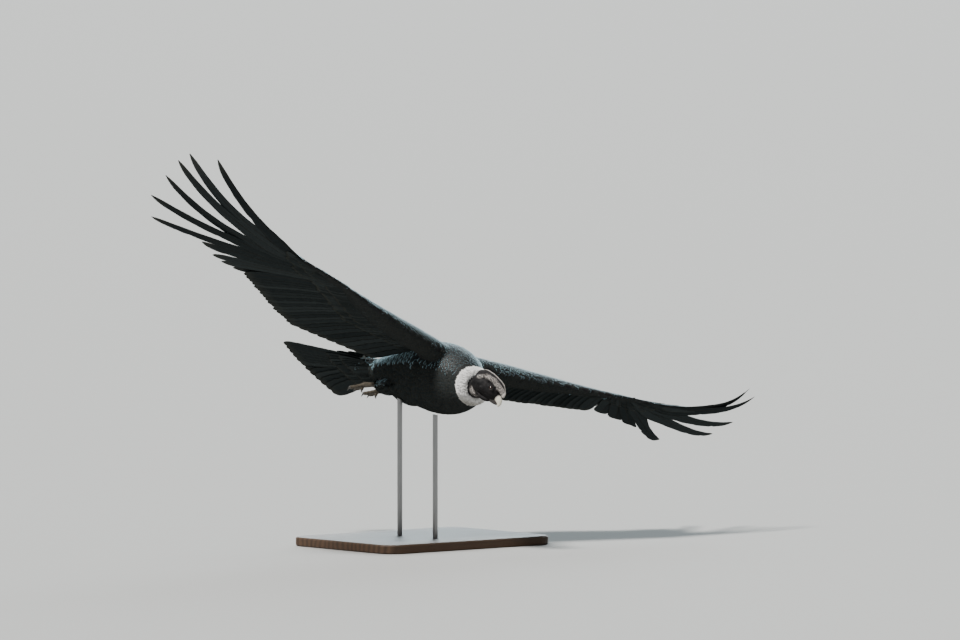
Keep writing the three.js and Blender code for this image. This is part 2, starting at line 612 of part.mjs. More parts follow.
function standBase() {
  const [a, b] = [BASE.length / 2 - BASE.bevel, BASE.width / 2 - BASE.bevel];
  const r = BASE.corner;
  const turn = Math.PI / 2;
  const outline = new THREE.Shape();
  outline.absarc(a - r, b - r, r, 0, turn).absarc(r - a, b - r, r, turn, 2 * turn)
    .absarc(r - a, r - b, r, 2 * turn, 3 * turn).absarc(a - r, r - b, r, 3 * turn, 4 * turn);
  const slab = new THREE.ExtrudeGeometry(outline, { depth: BASE.height - 2 * BASE.bevel,
    bevelThickness: BASE.bevel, bevelSize: BASE.bevel, bevelSegments: 1, curveSegments: 3 });
  slab.translate(0, 0, BASE.bevel);
  return slab;
}

function standRod(place) {
  const at = vec(place, 0, 0).applyMatrix4(birdMatrix);
  const length = BODY_HEIGHT - BASE.height - GAP;
  const rod = new THREE.CylinderGeometry(ROD_RADIUS, ROD_RADIUS, length, 16);
  rod.rotateX(Math.PI / 2);
  rod.translate(at.x + ROD_SIDE, at.y, BODY_HEIGHT - length / 2);
  const pieces = solidOf(rod).subtract(torso(GAP).transform(birdMatrix.elements)).decompose();
  return pieces.reduce((a, b) => (b.boundingBox().min[2] < a.boundingBox().min[2] ? b : a));
}

// The parts as meshes

function geometryOf(solid) {
  const mesh = solid.getMesh();
  const geometry = new THREE.BufferGeometry();
  geometry.setAttribute("position", new THREE.BufferAttribute(mesh.vertProperties, 3));
  geometry.setIndex(new THREE.BufferAttribute(mesh.triVerts, 1));
  return geometry;
}

const finish = (color, roughness, metalness = 0) => (
  new THREE.MeshStandardMaterial({ color, roughness, metalness }));
const PLUMAGE = finish(0x14171a, 0.55);
const DOWN = finish(0xf2f0ea, 0.9);
const BARE_SKIN = finish(0x2a2324, 0.6);
const COMB_SKIN = finish(0x2b2322, 0.55);
const IVORY = finish(0xd9d2bd, 0.4);
const IRIS = finish(0x4a3324, 0.15);
const SCALY = finish(0x6d6458, 0.7);
const BOARD = finish(0x2b2a29, 0.45);
const METAL = finish(0x3a3c3e, 0.35, 0.9);

const condor = new THREE.Group();
const bird = new THREE.Group();
bird.applyMatrix4(birdMatrix);
condor.add(bird);

function add(parent, name, geometry, material) {
  const mesh = new THREE.Mesh(geometry, material);
  mesh.name = name;
  parent.add(mesh);
}
const addToBird = (name, solid, material) => (
  add(bird, name, geometryOf(largest(solid.simplify(SLIVER))), material));

// Each piece is cut clear of its neighbours by their own shapes made larger by the gap
const clear = { torso: torso(GAP), tail: tail(GAP), neck: neck(GAP), head: head(GAP),
  comb: comb(GAP), upperBill: upperBill(GAP), lowerBill: lowerBill(GAP), ruff: ruff(GAP) };
addToBird("torso", torso(0), PLUMAGE);
addToBird("tail", cut(tail(0), clear.torso), PLUMAGE);
addToBird("neck", cut(neck(0), clear.torso, clear.head, clear.comb), BARE_SKIN);
addToBird("ruff", cut(ruff(0), clear.torso, clear.neck, clear.head, clear.comb), DOWN);
addToBird("head", cut(head(0), eye(1, GAP), eye(-1, GAP), clear.comb, clear.upperBill,
  clear.lowerBill), BARE_SKIN);
addToBird("comb", cut(comb(0), clear.upperBill), COMB_SKIN);
addToBird("upper_bill", upperBill(0), IVORY);
addToBird("lower_bill", cut(lowerBill(0), clear.upperBill), IVORY);
addToBird("eye_left", eye(1, 0), IRIS);
addToBird("eye_right", eye(-1, 0), IRIS);
addToBird("wattle", cut(wattle(0), clear.head, clear.neck, clear.lowerBill, clear.upperBill,
  clear.ruff), BARE_SKIN);

for (const [name, pose] of Object.entries(WINGS)) {
  const w = wingFrame(pose);
  const { side } = pose;
  addToBird(`${name}_upper_arm`, cut(upperArm(w, 0), clear.torso), PLUMAGE);
  addToBird(`${name}_forearm`, cut(forearm(w, 0), upperArm(w, GAP)), PLUMAGE);
  addToBird(`${name}_hand`, cut(hand(w, 0), forearm(w, GAP)), PLUMAGE);
  addToBird(`${name}_leg`, cut(leg(side, 0), clear.torso, clear.tail), PLUMAGE);
  addToBird(`${name}_foot`, cut(foot(side, 0), leg(side, GAP), clear.tail, clear.torso), SCALY);
}

add(condor, "stand_base", standBase(), BOARD);
for (const [name, place] of Object.entries(ROD_PLACES)) {
  add(condor, name, geometryOf(standRod(place)), METAL);
}

export default condor;
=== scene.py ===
import math

import bmesh
import bpy
import numpy as np
from mathutils import Matrix, Vector, noise
from mathutils.bvhtree import BVHTree


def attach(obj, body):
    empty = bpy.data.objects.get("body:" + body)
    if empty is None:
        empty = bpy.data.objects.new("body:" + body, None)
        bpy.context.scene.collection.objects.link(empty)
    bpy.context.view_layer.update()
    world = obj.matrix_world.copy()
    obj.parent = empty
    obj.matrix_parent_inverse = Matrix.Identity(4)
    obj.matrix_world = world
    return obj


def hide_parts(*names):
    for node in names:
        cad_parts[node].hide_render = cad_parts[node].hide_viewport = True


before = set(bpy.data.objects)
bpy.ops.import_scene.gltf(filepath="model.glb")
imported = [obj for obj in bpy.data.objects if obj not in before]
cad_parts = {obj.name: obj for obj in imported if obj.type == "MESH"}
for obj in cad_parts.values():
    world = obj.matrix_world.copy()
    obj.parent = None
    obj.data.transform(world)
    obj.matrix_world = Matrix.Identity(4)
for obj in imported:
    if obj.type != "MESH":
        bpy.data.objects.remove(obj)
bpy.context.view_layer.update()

draw = np.random.default_rng(11)
print("frame loaded")

# Camera

view = {"azimuth": -39.7, "elevation": 3.0, "distance": 25.0, "target": (0, 0, 0.615),
        "lens": 266.5, "shift": (0.0603, 0.0527), "farthest": 90000}


def linked(name, data):  # a new object in the scene
    thing = bpy.data.objects.new(name, data)
    bpy.context.scene.collection.objects.link(thing)
    return thing


def makeCamera():
    a, e = math.radians(view["azimuth"]), math.radians(view["elevation"])
    back = Vector((math.sin(a) * math.cos(e), -math.cos(a) * math.cos(e), math.sin(e)))
    data = bpy.data.cameras.new("camera")
    data.lens, data.clip_end = view["lens"], view["farthest"]
    data.shift_x, data.shift_y = view["shift"]
    camera = linked("camera", data)
    camera.location = Vector(view["target"]) + back * view["distance"]
    camera.rotation_euler = back.to_track_quat("Z", "Y").to_euler()
    bpy.context.scene.camera = camera
    return camera


camera = makeCamera()

# The bird's own frame: x towards its head, y to its left, z up its back

pose = {"height": 0.615, "bank": 20.3, "pitch": 0.25}  # degrees, left wing down


def birdMatrix():
    pitch, bank = math.radians(pose["pitch"]), math.radians(pose["bank"])
    ahead = Vector((0, -math.cos(pitch), math.sin(pitch)))
    level = Vector((1, 0, 0))
    upright = ahead.cross(level)
    left = level * math.cos(bank) - upright * math.sin(bank)
    up = upright * math.cos(bank) + level * math.sin(bank)
    return Matrix.Translation((0, 0, pose["height"])) @ Matrix((ahead, left, up)).transposed().to_4x4()


birdPlace = birdMatrix()

# Sums that the shapes share


def mix(a, b, t):
    return a + (b - a) * t


def ease(low, high, t):
    share = np.clip((t - low) / (high - low), 0, 1)
    return share * share * (3 - 2 * share)


def ramp(stops, t, runOn=False):  # the value at t between (place, value) stops
    places, values = np.array(stops, float).T
    found = np.interp(t, places, values)
    if runOn:
        first = (values[1] - values[0]) / (places[1] - places[0])
        last = (values[-1] - values[-2]) / (places[-1] - places[-2])
        found = np.where(t < places[0], values[0] + (t - places[0]) * first, found)
        found = np.where(t > places[-1], values[-1] + (t - places[-1]) * last, found)
    return found


def softRamp(stops, t, blur=0.03):  # a ramp with its corners rounded
    return (ramp(stops, t - blur) + 2 * ramp(stops, t) + ramp(stops, t + blur)) / 4


def unit(v):
    v = np.asarray(v, float)
    return v / np.maximum(np.linalg.norm(v, axis=-1, keepdims=True), 1e-12)


def col(a):  # a number for each point, ready to scale its vector
    return np.asarray(a, float)[..., None]


def along(points, t):  # a smooth curve through points, at shares t
    p = np.array(points, float)
    p = np.vstack([2 * p[0] - p[1], p, 2 * p[-1] - p[-2]])
    at = np.clip(np.asarray(t, float), 0, 1) * (len(p) - 3)
    i = np.minimum(at.astype(int), len(p) - 4)
    f = col(at - i)
    a, b, c, d = p[i], p[i + 1], p[i + 2], p[i + 3]
    return 0.5 * (2 * b + (c - a) * f + (2 * a - 5 * b + 4 * c - d) * f ** 2
                  + (3 * b - 3 * c + d - a) * f ** 3)


# Materials: a wire is one socket, and sums on wires add Math nodes


class Wire:
    def __init__(self, finish, socket):
        self.finish, self.socket = finish, socket

    def sum(self, operation, *values):
        return self.finish.add("ShaderNodeMath", {"operation": operation}, dict(enumerate(values)))

    def __add__(self, other):
        return self.sum("ADD", self, other)

    def __radd__(self, other):
        return self.sum("ADD", other, self)

    def __sub__(self, other):
        return self.sum("SUBTRACT", self, other)

    def __rsub__(self, other):
        return self.sum("SUBTRACT", other, self)

    def __mul__(self, other):
        return self.sum("MULTIPLY", self, other)

    def __rmul__(self, other):
        return self.sum("MULTIPLY", other, self)

    def sine(self):
        return self.sum("SINE", self)

    def size(self):
        return self.sum("ABSOLUTE", self)

    def capped(self):
        return self.finish.add("ShaderNodeClamp", {}, {"Value": self})

    def between(self, low, high):  # 0 at low, 1 at high, eased
        return self.finish.add("ShaderNodeMapRange", {"interpolation_type": "SMOOTHSTEP"},
                               {"Value": self, "From Min": low, "From Max": high})


class Finish:  # a material being made
    def __init__(self, name):
        self.material = bpy.data.materials.new(name)
        self.material.use_nodes = True
        self.tree = self.material.node_tree
        self.tree.nodes.clear()

    def add(self, kind, settings, sockets, out=0):
        node = self.tree.nodes.new(kind)
        for key, value in settings.items():
            setattr(node, key, value)
        for key, value in sockets.items():
            if isinstance(value, Wire):
                self.tree.links.new(value.socket, node.inputs[key])
            else:
                node.inputs[key].default_value = value
        return Wire(self, node.outputs[out]) if node.outputs else None

    def place(self):
        return self.add("ShaderNodeTexCoord", {}, {}, "Object")

    def value(self, name):  # a number kept on the mesh
        return self.add("ShaderNodeAttribute", {"attribute_name": name}, {}, "Fac")

    def patch(self, name):  # across and along, from a UV map
        uv = self.add("ShaderNodeUVMap", {"uv_map": name}, {})
        split = self.add("ShaderNodeSeparateXYZ", {}, {0: uv})
        return split, Wire(self, split.socket.node.outputs[1])

    def blend(self, share, a, b):  # colours a to b
        return self.add("ShaderNodeMix", {"data_type": "RGBA"}, {0: share, 6: shade(a), 7: shade(b)}, 2)

    def cloud(self, scale, detail, rough, at=None):
        return self.add("ShaderNodeTexNoise", {}, {"Vector": at or self.place(), "Scale": scale,
                                                   "Detail": detail, "Roughness": rough})

    def cells(self, scale, **settings):
        return self.add("ShaderNodeTexVoronoi", settings, {"Vector": self.place(), "Scale": scale})

    def raised(self, height, distance, strength):
        return self.add("ShaderNodeBump", {}, {"Height": height, "Distance": distance,
                                               "Strength": strength})

    def close(self, **sockets):  # the shader and the output
        shader = self.add("ShaderNodeBsdfPrincipled", {}, {
            labels.get(key, key.capitalize()): shade(value) for key, value in sockets.items()})
        self.add("ShaderNodeOutputMaterial", {}, {"Surface": shader})
        return self.material


labels = {"baseColor": "Base Color", "coat": "Coat Weight", "coatRoughness": "Coat Roughness",
          "sheen": "Sheen Weight", "sheenRoughness": "Sheen Roughness", "sheenTint": "Sheen Tint",
          "specular": "Specular IOR Level"}


def shade(value):  # a colour of three numbers gets its alpha
    return (*value, 1) if isinstance(value, tuple) and len(value) == 3 else value


# The upper faces of the feathers are glossy, and the lower ones matt. These are also lit and shaded
# copies: the body's small feathers take the matt copy, with paler colours and no gloss, where they face up
# only a little or face down in the world
plumageLook = {"top": {"black": (0.003, 0.004, 0.0044), "lit": (0.0095, 0.0125, 0.0135),
                       "edge": (0.022, 0.025, 0.0245), "specular": 0.4, "sheen": 1.0},
               "under": {"black": (0.014, 0.0175, 0.0185), "lit": (0.036, 0.043, 0.044),
                         "edge": (0.075, 0.074, 0.058), "specular": 0.0, "sheen": 0.0},
               "shaft": (0.03, 0.0295, 0.0265), "shaftEdge": (0.0006, 0.0022),
               "silver": (0.5, 0.505, 0.5), "sheenTint": (0.42, 0.66, 0.76), "sheenRoughness": 0.3,
               "roughness": 0.54, "smoother": 0.2, "mottle": 60.0, "barbs": 5200.0, "barbSlant": 0.9}


def plumage(name, side, barbDepth, polish):
    f = Finish(name)
    look = plumageLook
    colours = look[side]
    across, down = f.patch("vane")  # metres from the shaft, and from the root
    tone, tip, silver = map(f.value, ("tone", "tip", "silver"))
    barbs = ((down - across.size() * look["barbSlant"]) * look["barbs"]).sine()
    mottle = f.cloud(look["mottle"], 4.0, 0.6)
    # from black towards lit by tone: random on the long feathers; on the small feathers half random and
    # half painted light, paler where they face up
    base = f.blend((tone * 0.7 + mottle * 0.5 - 0.1).capped(), colours["black"], colours["lit"])
    base = f.blend((tip * (mottle * 0.9 + 0.2)).capped(), base, colours["edge"])
    base = f.blend(silver, base, look["silver"])
    shaft = 1 - across.size().between(*look["shaftEdge"])
    base = f.blend((shaft * 0.8).capped(), base, look["shaft"])
    plain = look["roughness"] - look["smoother"] * polish
    normal = f.raised(barbs + shaft * 3.0, barbDepth, 0.7)
    return f.close(baseColor=base, roughness=(mottle * 0.16 + plain + barbs * 0.03).capped(),
                   normal=normal, specular=polish * colours["specular"], sheen=colours["sheen"],
                   sheenRoughness=look["sheenRoughness"], sheenTint=look["sheenTint"])


def plumagePair(name, barbDepth, polish=1.0):  # slot 0 for the upper faces, slot 1 for the lower
    return (plumage(name + "Above", "top", barbDepth, polish),
            plumage(name + "Below", "under", barbDepth, polish))


plumageFinishes = plumagePair("plumage", 0.00012)
smallFinishes = plumagePair("smallFeathers", 0.00003, 0.5)

# dustAndShade is the colour of real dust at the locks' tips and of painted shade on the ruff's underside
downLook = {"shade": (0.88, 0.875, 0.86), "light": (0.97, 0.965, 0.955), "dustAndShade": (0.3, 0.285, 0.24),
            "roughness": 0.92, "sheen": 0.8, "wisps": 420.0, "wispDepth": 0.0012}


def downFinish():
    f = Finish("down")
    look = downLook
    tone, dustAndShade = f.value("tone"), f.value("tip")
    wisps = f.cloud(look["wisps"], 3.0, 0.6)
    base = f.blend((tone * 0.5 + wisps * 0.3).capped(), look["shade"], look["light"])
    # painted shade: locks that point downwards are darkened towards this colour, on top of real dust
    # towards their tips
    base = f.blend(dustAndShade.capped(), base, look["dustAndShade"])
    return f.close(baseColor=base, roughness=look["roughness"], specular=0.15, sheen=look["sheen"],
                   sheenRoughness=0.6, sheenTint=(1.0, 1.0, 1.0),
                   normal=f.raised(wisps, look["wispDepth"], 0.5))


# rim is a painted highlight colour for the comb's top edge
skinLook = {"dark": (0.0045, 0.0046, 0.0054), "lit": (0.013, 0.012, 0.0125),
            "face": (0.013, 0.01, 0.0105), "comb": (0.014, 0.0125, 0.014), "pale": (0.66, 0.61, 0.57),
            "rim": (0.56, 0.52, 0.48), "slit": (0.004, 0.0035, 0.004), "white": (0.8, 0.79, 0.77),
            "grain": 520.0, "pits": 1100.0, "folds": 260.0, "relief": 0.0006}


def skinFinish():
    f = Finish("bareSkin")
    look = skinLook
    comb, pale, face, rim, slit, white = map(f.value, ("comb", "pale", "face", "rim", "slit", "white"))
    grain = f.cells(look["grain"], feature="DISTANCE_TO_EDGE")
    pits = f.cells(look["pits"])
    folds = f.cells(look["folds"], feature="DISTANCE_TO_EDGE")
    blotch = f.cloud(70.0, 5.0, 0.65)
    fine = f.cloud(360.0, 4.0, 0.6)
    base = f.blend(blotch.between(0.35, 0.7), look["dark"], look["lit"])
    base = f.blend((face * blotch.between(0.4, 0.75)).capped(), base, look["face"])
    base = f.blend((comb * blotch.between(0.4, 0.62)).capped(), base, look["comb"])
    ridge = folds.between(0.03, 0.2) * fine.between(0.36, 0.56) * blotch.between(0.3, 0.5)
    base = f.blend((pale * ridge).capped(), base, look["pale"])
    # painted highlight: a pale line along the comb's top ridge and round its front end
    base = f.blend((rim * (fine * 0.8 + 0.35)).capped(), base, look["rim"])
    base = f.blend((slit * 1.4).capped(), base, look["slit"])
    base = f.blend(white, base, look["white"])
    height = grain.between(0.0, 0.05) * 0.6 + pits * 0.4 + fine * 0.8
    return f.close(baseColor=base, roughness=(fine * 0.3 + 0.4).capped(), specular=0.16,
                   normal=f.raised(height, look["relief"], 0.8))


hornLook = {"bill": {"light": (0.78, 0.74, 0.62), "dark": (0.028, 0.024, 0.023)},
            "claw": {"light": (0.05, 0.045, 0.04), "dark": (0.014, 0.013, 0.012)},
            "streaks": 240.0, "clouds": 55.0, "relief": 0.0004}


def hornFinish(kind):
    f = Finish(kind + "Horn")
    look = hornLook
    light, dark = look[kind]["light"], look[kind]["dark"]
    darkHornAndShade = f.value("dark")
    grain = f.cloud(look["streaks"], 4.0, 0.6)
    cloudy = f.cloud(look["clouds"], 3.0, 0.5)
    base = f.blend((cloudy * 0.8).capped(), light, tuple(0.8 * c for c in light))
    # the mesh's dark value: the bill's own dark base, and painted shade over the lower bill and in the
    # nostril
    base = f.blend((darkHornAndShade + (grain - 0.5) * 0.35 * darkHornAndShade).capped(), base, dark)
    return f.close(baseColor=base, roughness=(grain * 0.25 + 0.24).capped(), specular=0.5, coat=0.15,
                   coatRoughness=0.25, normal=f.raised(grain, look["relief"], 0.4))


eyeLook = {"pupil": (0.004, 0.004, 0.004), "iris": (0.012, 0.006, 0.004), "rays": (0.034, 0.016, 0.009),
           "rim": (0.01, 0.007, 0.006), "pupilEdge": (0.4, 0.46), "rimEdge": (0.8, 1.0)}


def eyeFinish():
    f = Finish("eye")
    look = eyeLook
    away = f.value("iris")  # 0 at the middle of the pupil, 1 at the rim of the iris
    rays = f.cloud(900.0, 3.0, 0.7)
    iris = f.blend(rays.between(0.35, 0.7), look["iris"], look["rays"])
    iris = f.blend(away.between(*look["rimEdge"]), iris, look["rim"])
    base = f.blend(away.between(*look["pupilEdge"]), look["pupil"], iris)
    return f.close(baseColor=base, roughness=0.1, coat=0.5, coatRoughness=0.03, specular=0.4)


scalyLook = {"dark": (0.045, 0.037, 0.027), "light": (0.1, 0.084, 0.062), "gaps": (0.022, 0.018, 0.014),
             "scales": 260.0, "relief": 0.0008, "roughness": 0.62}


def scalyFinish():
    f = Finish("scalySkin")
    look = scalyLook
    scales = f.cells(look["scales"], feature="DISTANCE_TO_EDGE")
    blotch = f.cloud(90.0, 4.0, 0.6)
    base = f.blend(blotch.between(0.3, 0.7), look["dark"], look["light"])
    base = f.blend(1 - scales.between(0.0, 0.04), base, look["gaps"])
    return f.close(baseColor=base, roughness=look["roughness"], specular=0.2,
                   normal=f.raised(scales.between(0.0, 0.12), look["relief"], 0.9))


boardLook = {"dark": (0.036, 0.022, 0.014), "light": (0.105, 0.062, 0.037), "pores": (0.022, 0.014, 0.01),
             "grain": (1.0, 14.0, 14.0), "rings": 0.9}


def boardFinish():
    f = Finish("board")
    look = boardLook
    split = f.add("ShaderNodeMapping", {}, {"Vector": f.place(), "Scale": look["grain"]})
    bend = f.cloud(2.2, 4.0, 0.55, at=split)
    rings = f.add("ShaderNodeTexWave", {"wave_type": "BANDS", "bands_direction": "Y"},
                  {"Vector": split, "Scale": look["rings"], "Distortion": 7.0, "Detail": 3.0,
                   "Detail Scale": 0.7})
    pores = f.cloud(160.0, 2.0, 0.5, at=split)
    base = f.blend((rings * 0.6 + bend * 0.5).capped(), look["dark"], look["light"])
    base = f.blend(pores.between(0.55, 0.72), base, look["pores"])
    return f.close(baseColor=base, roughness=(bend * 0.2 + 0.5).capped(), specular=0.25, coat=0.05,
                   coatRoughness=0.5, normal=f.raised(pores, 0.0006, 0.35))


metalLook = {"dark": (0.25, 0.255, 0.26), "light": (0.42, 0.425, 0.43), "drawn": (600.0, 600.0, 9.0)}


def metalFinish():
    f = Finish("rodMetal")
    look = metalLook
    drawn = f.add("ShaderNodeMapping", {}, {"Vector": f.place(), "Scale": look["drawn"]})
    lines = f.cloud(1.0, 3.0, 0.6, at=drawn)
    smudge = f.cloud(24.0, 3.0, 0.5)
    base = f.blend(lines, look["dark"], look["light"])
    return f.close(baseColor=base, metallic=1.0, roughness=(lines * 0.16 + smudge * 0.14 + 0.2).capped(),
                   normal=f.raised(lines, 0.0002, 0.5))


downMaterial, skinMaterial, eyeMaterial = downFinish(), skinFinish(), eyeFinish()
billMaterial, clawMaterial, scalyMaterial = hornFinish("bill"), hornFinish("claw"), scalyFinish()
boardMaterial, metalMaterial = boardFinish(), metalFinish()
print("materials made")

# Meshes


def addPiece(name, mesh, finishes, slot, *nodes):
    # a mesh in the bird's frame becomes a smooth piece in its place
    if mesh.materials:
        mesh.materials.clear()
    for finish in finishes:
        mesh.materials.append(finish)
    mesh.transform(birdPlace)
    mesh.shade_smooth()
    piece = linked(name, mesh)
    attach(piece, "root")
    if nodes:
        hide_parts(*nodes)


def keep(mesh, name, values):  # a number for each vertex
    mesh.attributes.new(name, "FLOAT", "POINT").data.foreach_set("value", np.asarray(values, np.float32))


def meshFrom(bm, name):
    mesh = bpy.data.meshes.new(name)
    bm.to_mesh(mesh)
    bm.free()
    return mesh


def meshOf(name, points, faces):  # four-sided faces
    mesh = bpy.data.meshes.new(name)
    mesh.vertices.add(len(points))
    mesh.vertices.foreach_set("co", np.asarray(points, np.float32).ravel())
    mesh.loops.add(faces.size)
    mesh.loops.foreach_set("vertex_index", faces.astype(np.int32).ravel())
    mesh.polygons.add(len(faces))
    mesh.polygons.foreach_set("loop_start", np.arange(0, faces.size, 4, dtype=np.int32))
    mesh.update(calc_edges=True)
    return mesh


def uvMap(mesh, name, spots):  # one spot for each corner
    layer = mesh.uv_layers.new(name=name)
    layer.data.foreach_set("uv", np.asarray(spots, np.float32).ravel())


def vaneShape(columns, rows):
    # a thin closed leaf: x across from -1 to 1, y along from 0 to 1, z 1 on top and -1 below
    bm = bmesh.new()
    bmesh.ops.create_grid(bm, x_segments=columns, y_segments=rows, size=1)
    top = bm.verts[:]
    made = bmesh.ops.duplicate(bm, geom=bm.verts[:] + bm.edges[:] + bm.faces[:])
    bmesh.ops.reverse_faces(bm, faces=[g for g in made["geom"] if isinstance(g, bmesh.types.BMFace)])
    for v in bm.verts:
        v.co.z = -1
        v.co.y = (v.co.y + 1) / 2
    for v in top:
        v.co.z = 1
    for v in bm.verts:
        if v.is_boundary:
            v.co.z = 0
    bmesh.ops.remove_doubles(bm, verts=bm.verts[:], dist=1e-5)
    bm.verts.ensure_lookup_table()
    bm.verts.index_update()
    shape = {"points": np.array([v.co for v in bm.verts]),
             "faces": np.array([[v.index for v in f.verts] for f in bm.faces]),
             "under": np.array([f.calc_center_median().z < 0 for f in bm.faces])}
    bm.free()
    return shape


longVane = vaneShape(12, 44)
rowVane = vaneShape(8, 14)
smallVane = vaneShape(4, 5)
lockVane = vaneShape(2, 6)


cell = {"middle": 0.26, "halfWide": 0.22, "under": 0.48, "halfTall": 0.46, "small": 0.0015}


def gather(name, shape, laid, atlas=False, slots=True):
    # one mesh of many vanes: laid holds, for each, its points, vane coordinates, numbers and map spot
    count = len(shape["points"])
    mesh = meshOf(name, np.concatenate([v["points"] for v in laid]),
                  np.concatenate([shape["faces"] + count * i for i in range(len(laid))]))
    corners = shape["faces"].ravel()
    uvMap(mesh, "vane", np.concatenate([v["vane"][corners] for v in laid]))
    across, down = shape["points"][corners, 0], 2 * shape["points"][corners, 1] - 1
    column = cell["middle"] + cell["halfWide"] * across + cell["under"] * np.repeat(shape["under"], 4)
    spots, cells = [], math.ceil(math.sqrt(len(laid)))
    for i, v in enumerate(laid):
        if atlas:  # each of these feathers has a cell of its own
            spots.append(np.array([i % cells + column,
                                   i // cells + 0.5 + cell["halfTall"] * down]).T / cells)
        else:
            spots.append(np.array(v["spot"]) + cell["small"] * np.array([across, down]).T)
    uvMap(mesh, "OFBake", np.concatenate(spots))
    for key in laid[0]["numbers"]:
        keep(mesh, key, np.concatenate([v["numbers"][key] for v in laid]))
    if slots:  # the second finish is for a vane's own under faces, or for the whole of a low vane
        under = [shape["under"] if v["low"] is None else np.full(len(shape["faces"]), v["low"])
                 for v in laid]
        mesh.polygons.foreach_set("material_index", np.concatenate(under).astype(np.int32))
    return mesh


# Wings, in metres and degrees. Feathers lie on sheets: q counts feathers across a sheet, s runs
# from a feather's root outwards and lift stands off it.

wings = {
    "right": {"side": -1, "armForward": 9.8, "armUp": 6.2, "handForward": 0.7, "handUp": 6.4,
              "armDroop": 8.3, "tipDroop": 26.5, "armFan": 19,
              "fan": [(1, 63), (3, 50), (4, 38), (5, 29.5), (6, 20.5), (7, 17.5), (8, 7.3), (9, 3.2),
                      (10, -7)],
              "bend": [(1, 0.02), (5, 0.055), (6, 0.1), (7, 0.24), (8, 0.25), (9, 0.3), (10, 0.26)]},
    "left": {"side": 1, "armForward": 16.3, "armUp": 8, "handForward": -0.6, "handUp": 8.6,
             "armDroop": 7.6, "tipDroop": 45.3, "armFan": 15,
             "fan": [(1, 60), (3, 48), (4, 43), (5, 36), (6, 19.5), (7, 10), (8, -1.3), (10, -5)],
             "bend": [(1, 0.04), (5, 0.12), (6, 0.122), (7, 0.14), (8, 0.22), (9, 0.285),
                      (10, 0.25)]},
}
arm = {"shoulder": (0.15, 0.09, 0.05), "length": 0.54, "hand": 0.2, "elbow": (0.25, 0.09),
       "fanElbow": 3, "fanShoulder": -20, "secondaries": 13, "tertialSpacing": 0.032,
       "camberStart": 0.04, "camberDepth": 0.43, "camberRise": 0.014}
primaries = {"count": 10, "lengths": [(1, 0.42), (2, 0.432), (3, 0.438), (4, 0.461), (5, 0.64),
                                      (6, 0.664), (7, 0.616), (8, 0.614), (9, 0.577), (10, 0.512)],
             "firstFinger": 5, "free": (0.3, 0.6), "width": 0.066, "innerWidth": 0.88,
             "outerWidth": 0.8, "lead": 0.4, "outerLead": 0.25, "stem": 0.0034, "thick": 0.0018,
             "cup": 0.0015, "silver": 0.35, "bendPower": 3}


def hindBasis(bone):  # straight back and up, square to a bone
    back = unit(np.array((-1.0, 0, 0)) - bone * -bone[0])
    up = unit(np.cross(back, bone))
    return back, up if up[2] > 0 else -up


def hindward(basis, droop):  # back and up after the hind edge is lowered by droop degrees
    back, up = basis
    c, s = col(np.cos(np.radians(droop))), col(np.sin(np.radians(droop)))
    return c * back - s * up, c * up + s * back


def wingFrame(w):
    def reach(ahead, rise):
        a, r = math.radians(ahead), math.radians(rise)
        return np.array((math.sin(a) * math.cos(r), w["side"] * math.cos(a) * math.cos(r), math.sin(r)))

    w = dict(w)
    w["arm"], w["hand"] = reach(w["armForward"], w["armUp"]), reach(w["handForward"], w["handUp"])
    w["armBasis"], w["handBasis"] = hindBasis(w["arm"]), hindBasis(w["hand"])
    w["armBack"], w["armNormal"] = hindward(w["armBasis"], w["armDroop"])
    w["shoulder"] = np.array(arm["shoulder"]) * (1, w["side"], 1)
    w["wrist"] = w["shoulder"] + w["arm"] * arm["length"]
    return w


def camber(behind):
    t = np.clip((behind - arm["camberStart"]) / arm["camberDepth"], 0, 1)
    return arm["camberRise"] * 4 * t * (1 - t)


def armSheet(w):
    elbowAlong, elbowBack = arm["elbow"]

    def point(q, s, lift):
        q, s, lift = np.broadcast_arrays(np.asarray(q, float), s, lift)
        outward = q / arm["secondaries"]
        inward = -q * arm["tertialSpacing"] / math.hypot(elbowAlong, elbowBack)
        outer = q > 0
        run = np.where(outer, mix(elbowAlong, arm["length"], outward), mix(elbowAlong, 0, inward))
        back = np.where(outer, mix(elbowBack, 0, outward), mix(elbowBack, 0, inward))
        fan = np.radians(np.where(outer, mix(arm["fanElbow"], w["armFan"], outward),
                                  mix(arm["fanElbow"], arm["fanShoulder"], inward)))
        behind = back + s * np.cos(fan)
        return (w["shoulder"] + col(run + s * np.sin(fan)) * w["arm"] + col(behind) * w["armBack"]
                + col(camber(behind) + lift) * w["armNormal"])
    return point


def handSheet(w):
    def point(q, s, lift):
        q, s, lift = np.broadcast_arrays(np.asarray(q, float), s, lift)
        outer = (q - 1) / (primaries["count"] - 1)
        back, up = hindward(w["handBasis"], mix(w["armDroop"], w["tipDroop"], outer))
        fan = np.radians(ramp(w["fan"], q, True))
        length = ramp(primaries["lengths"], q)
        bend = length * ramp(w["bend"], q, True) * np.maximum(0, s / length) ** primaries["bendPower"]
        arch = camber(s * np.sin(fan)) * np.maximum(0, 1 - outer * 1.5)
        run = arm["hand"] * (q - 0.5) / primaries["count"] + s * np.cos(fan)
        return (w["wrist"] + col(run) * w["hand"] + col(s * np.sin(fan)) * back
                + col(bend + arch + lift) * up)
    return point


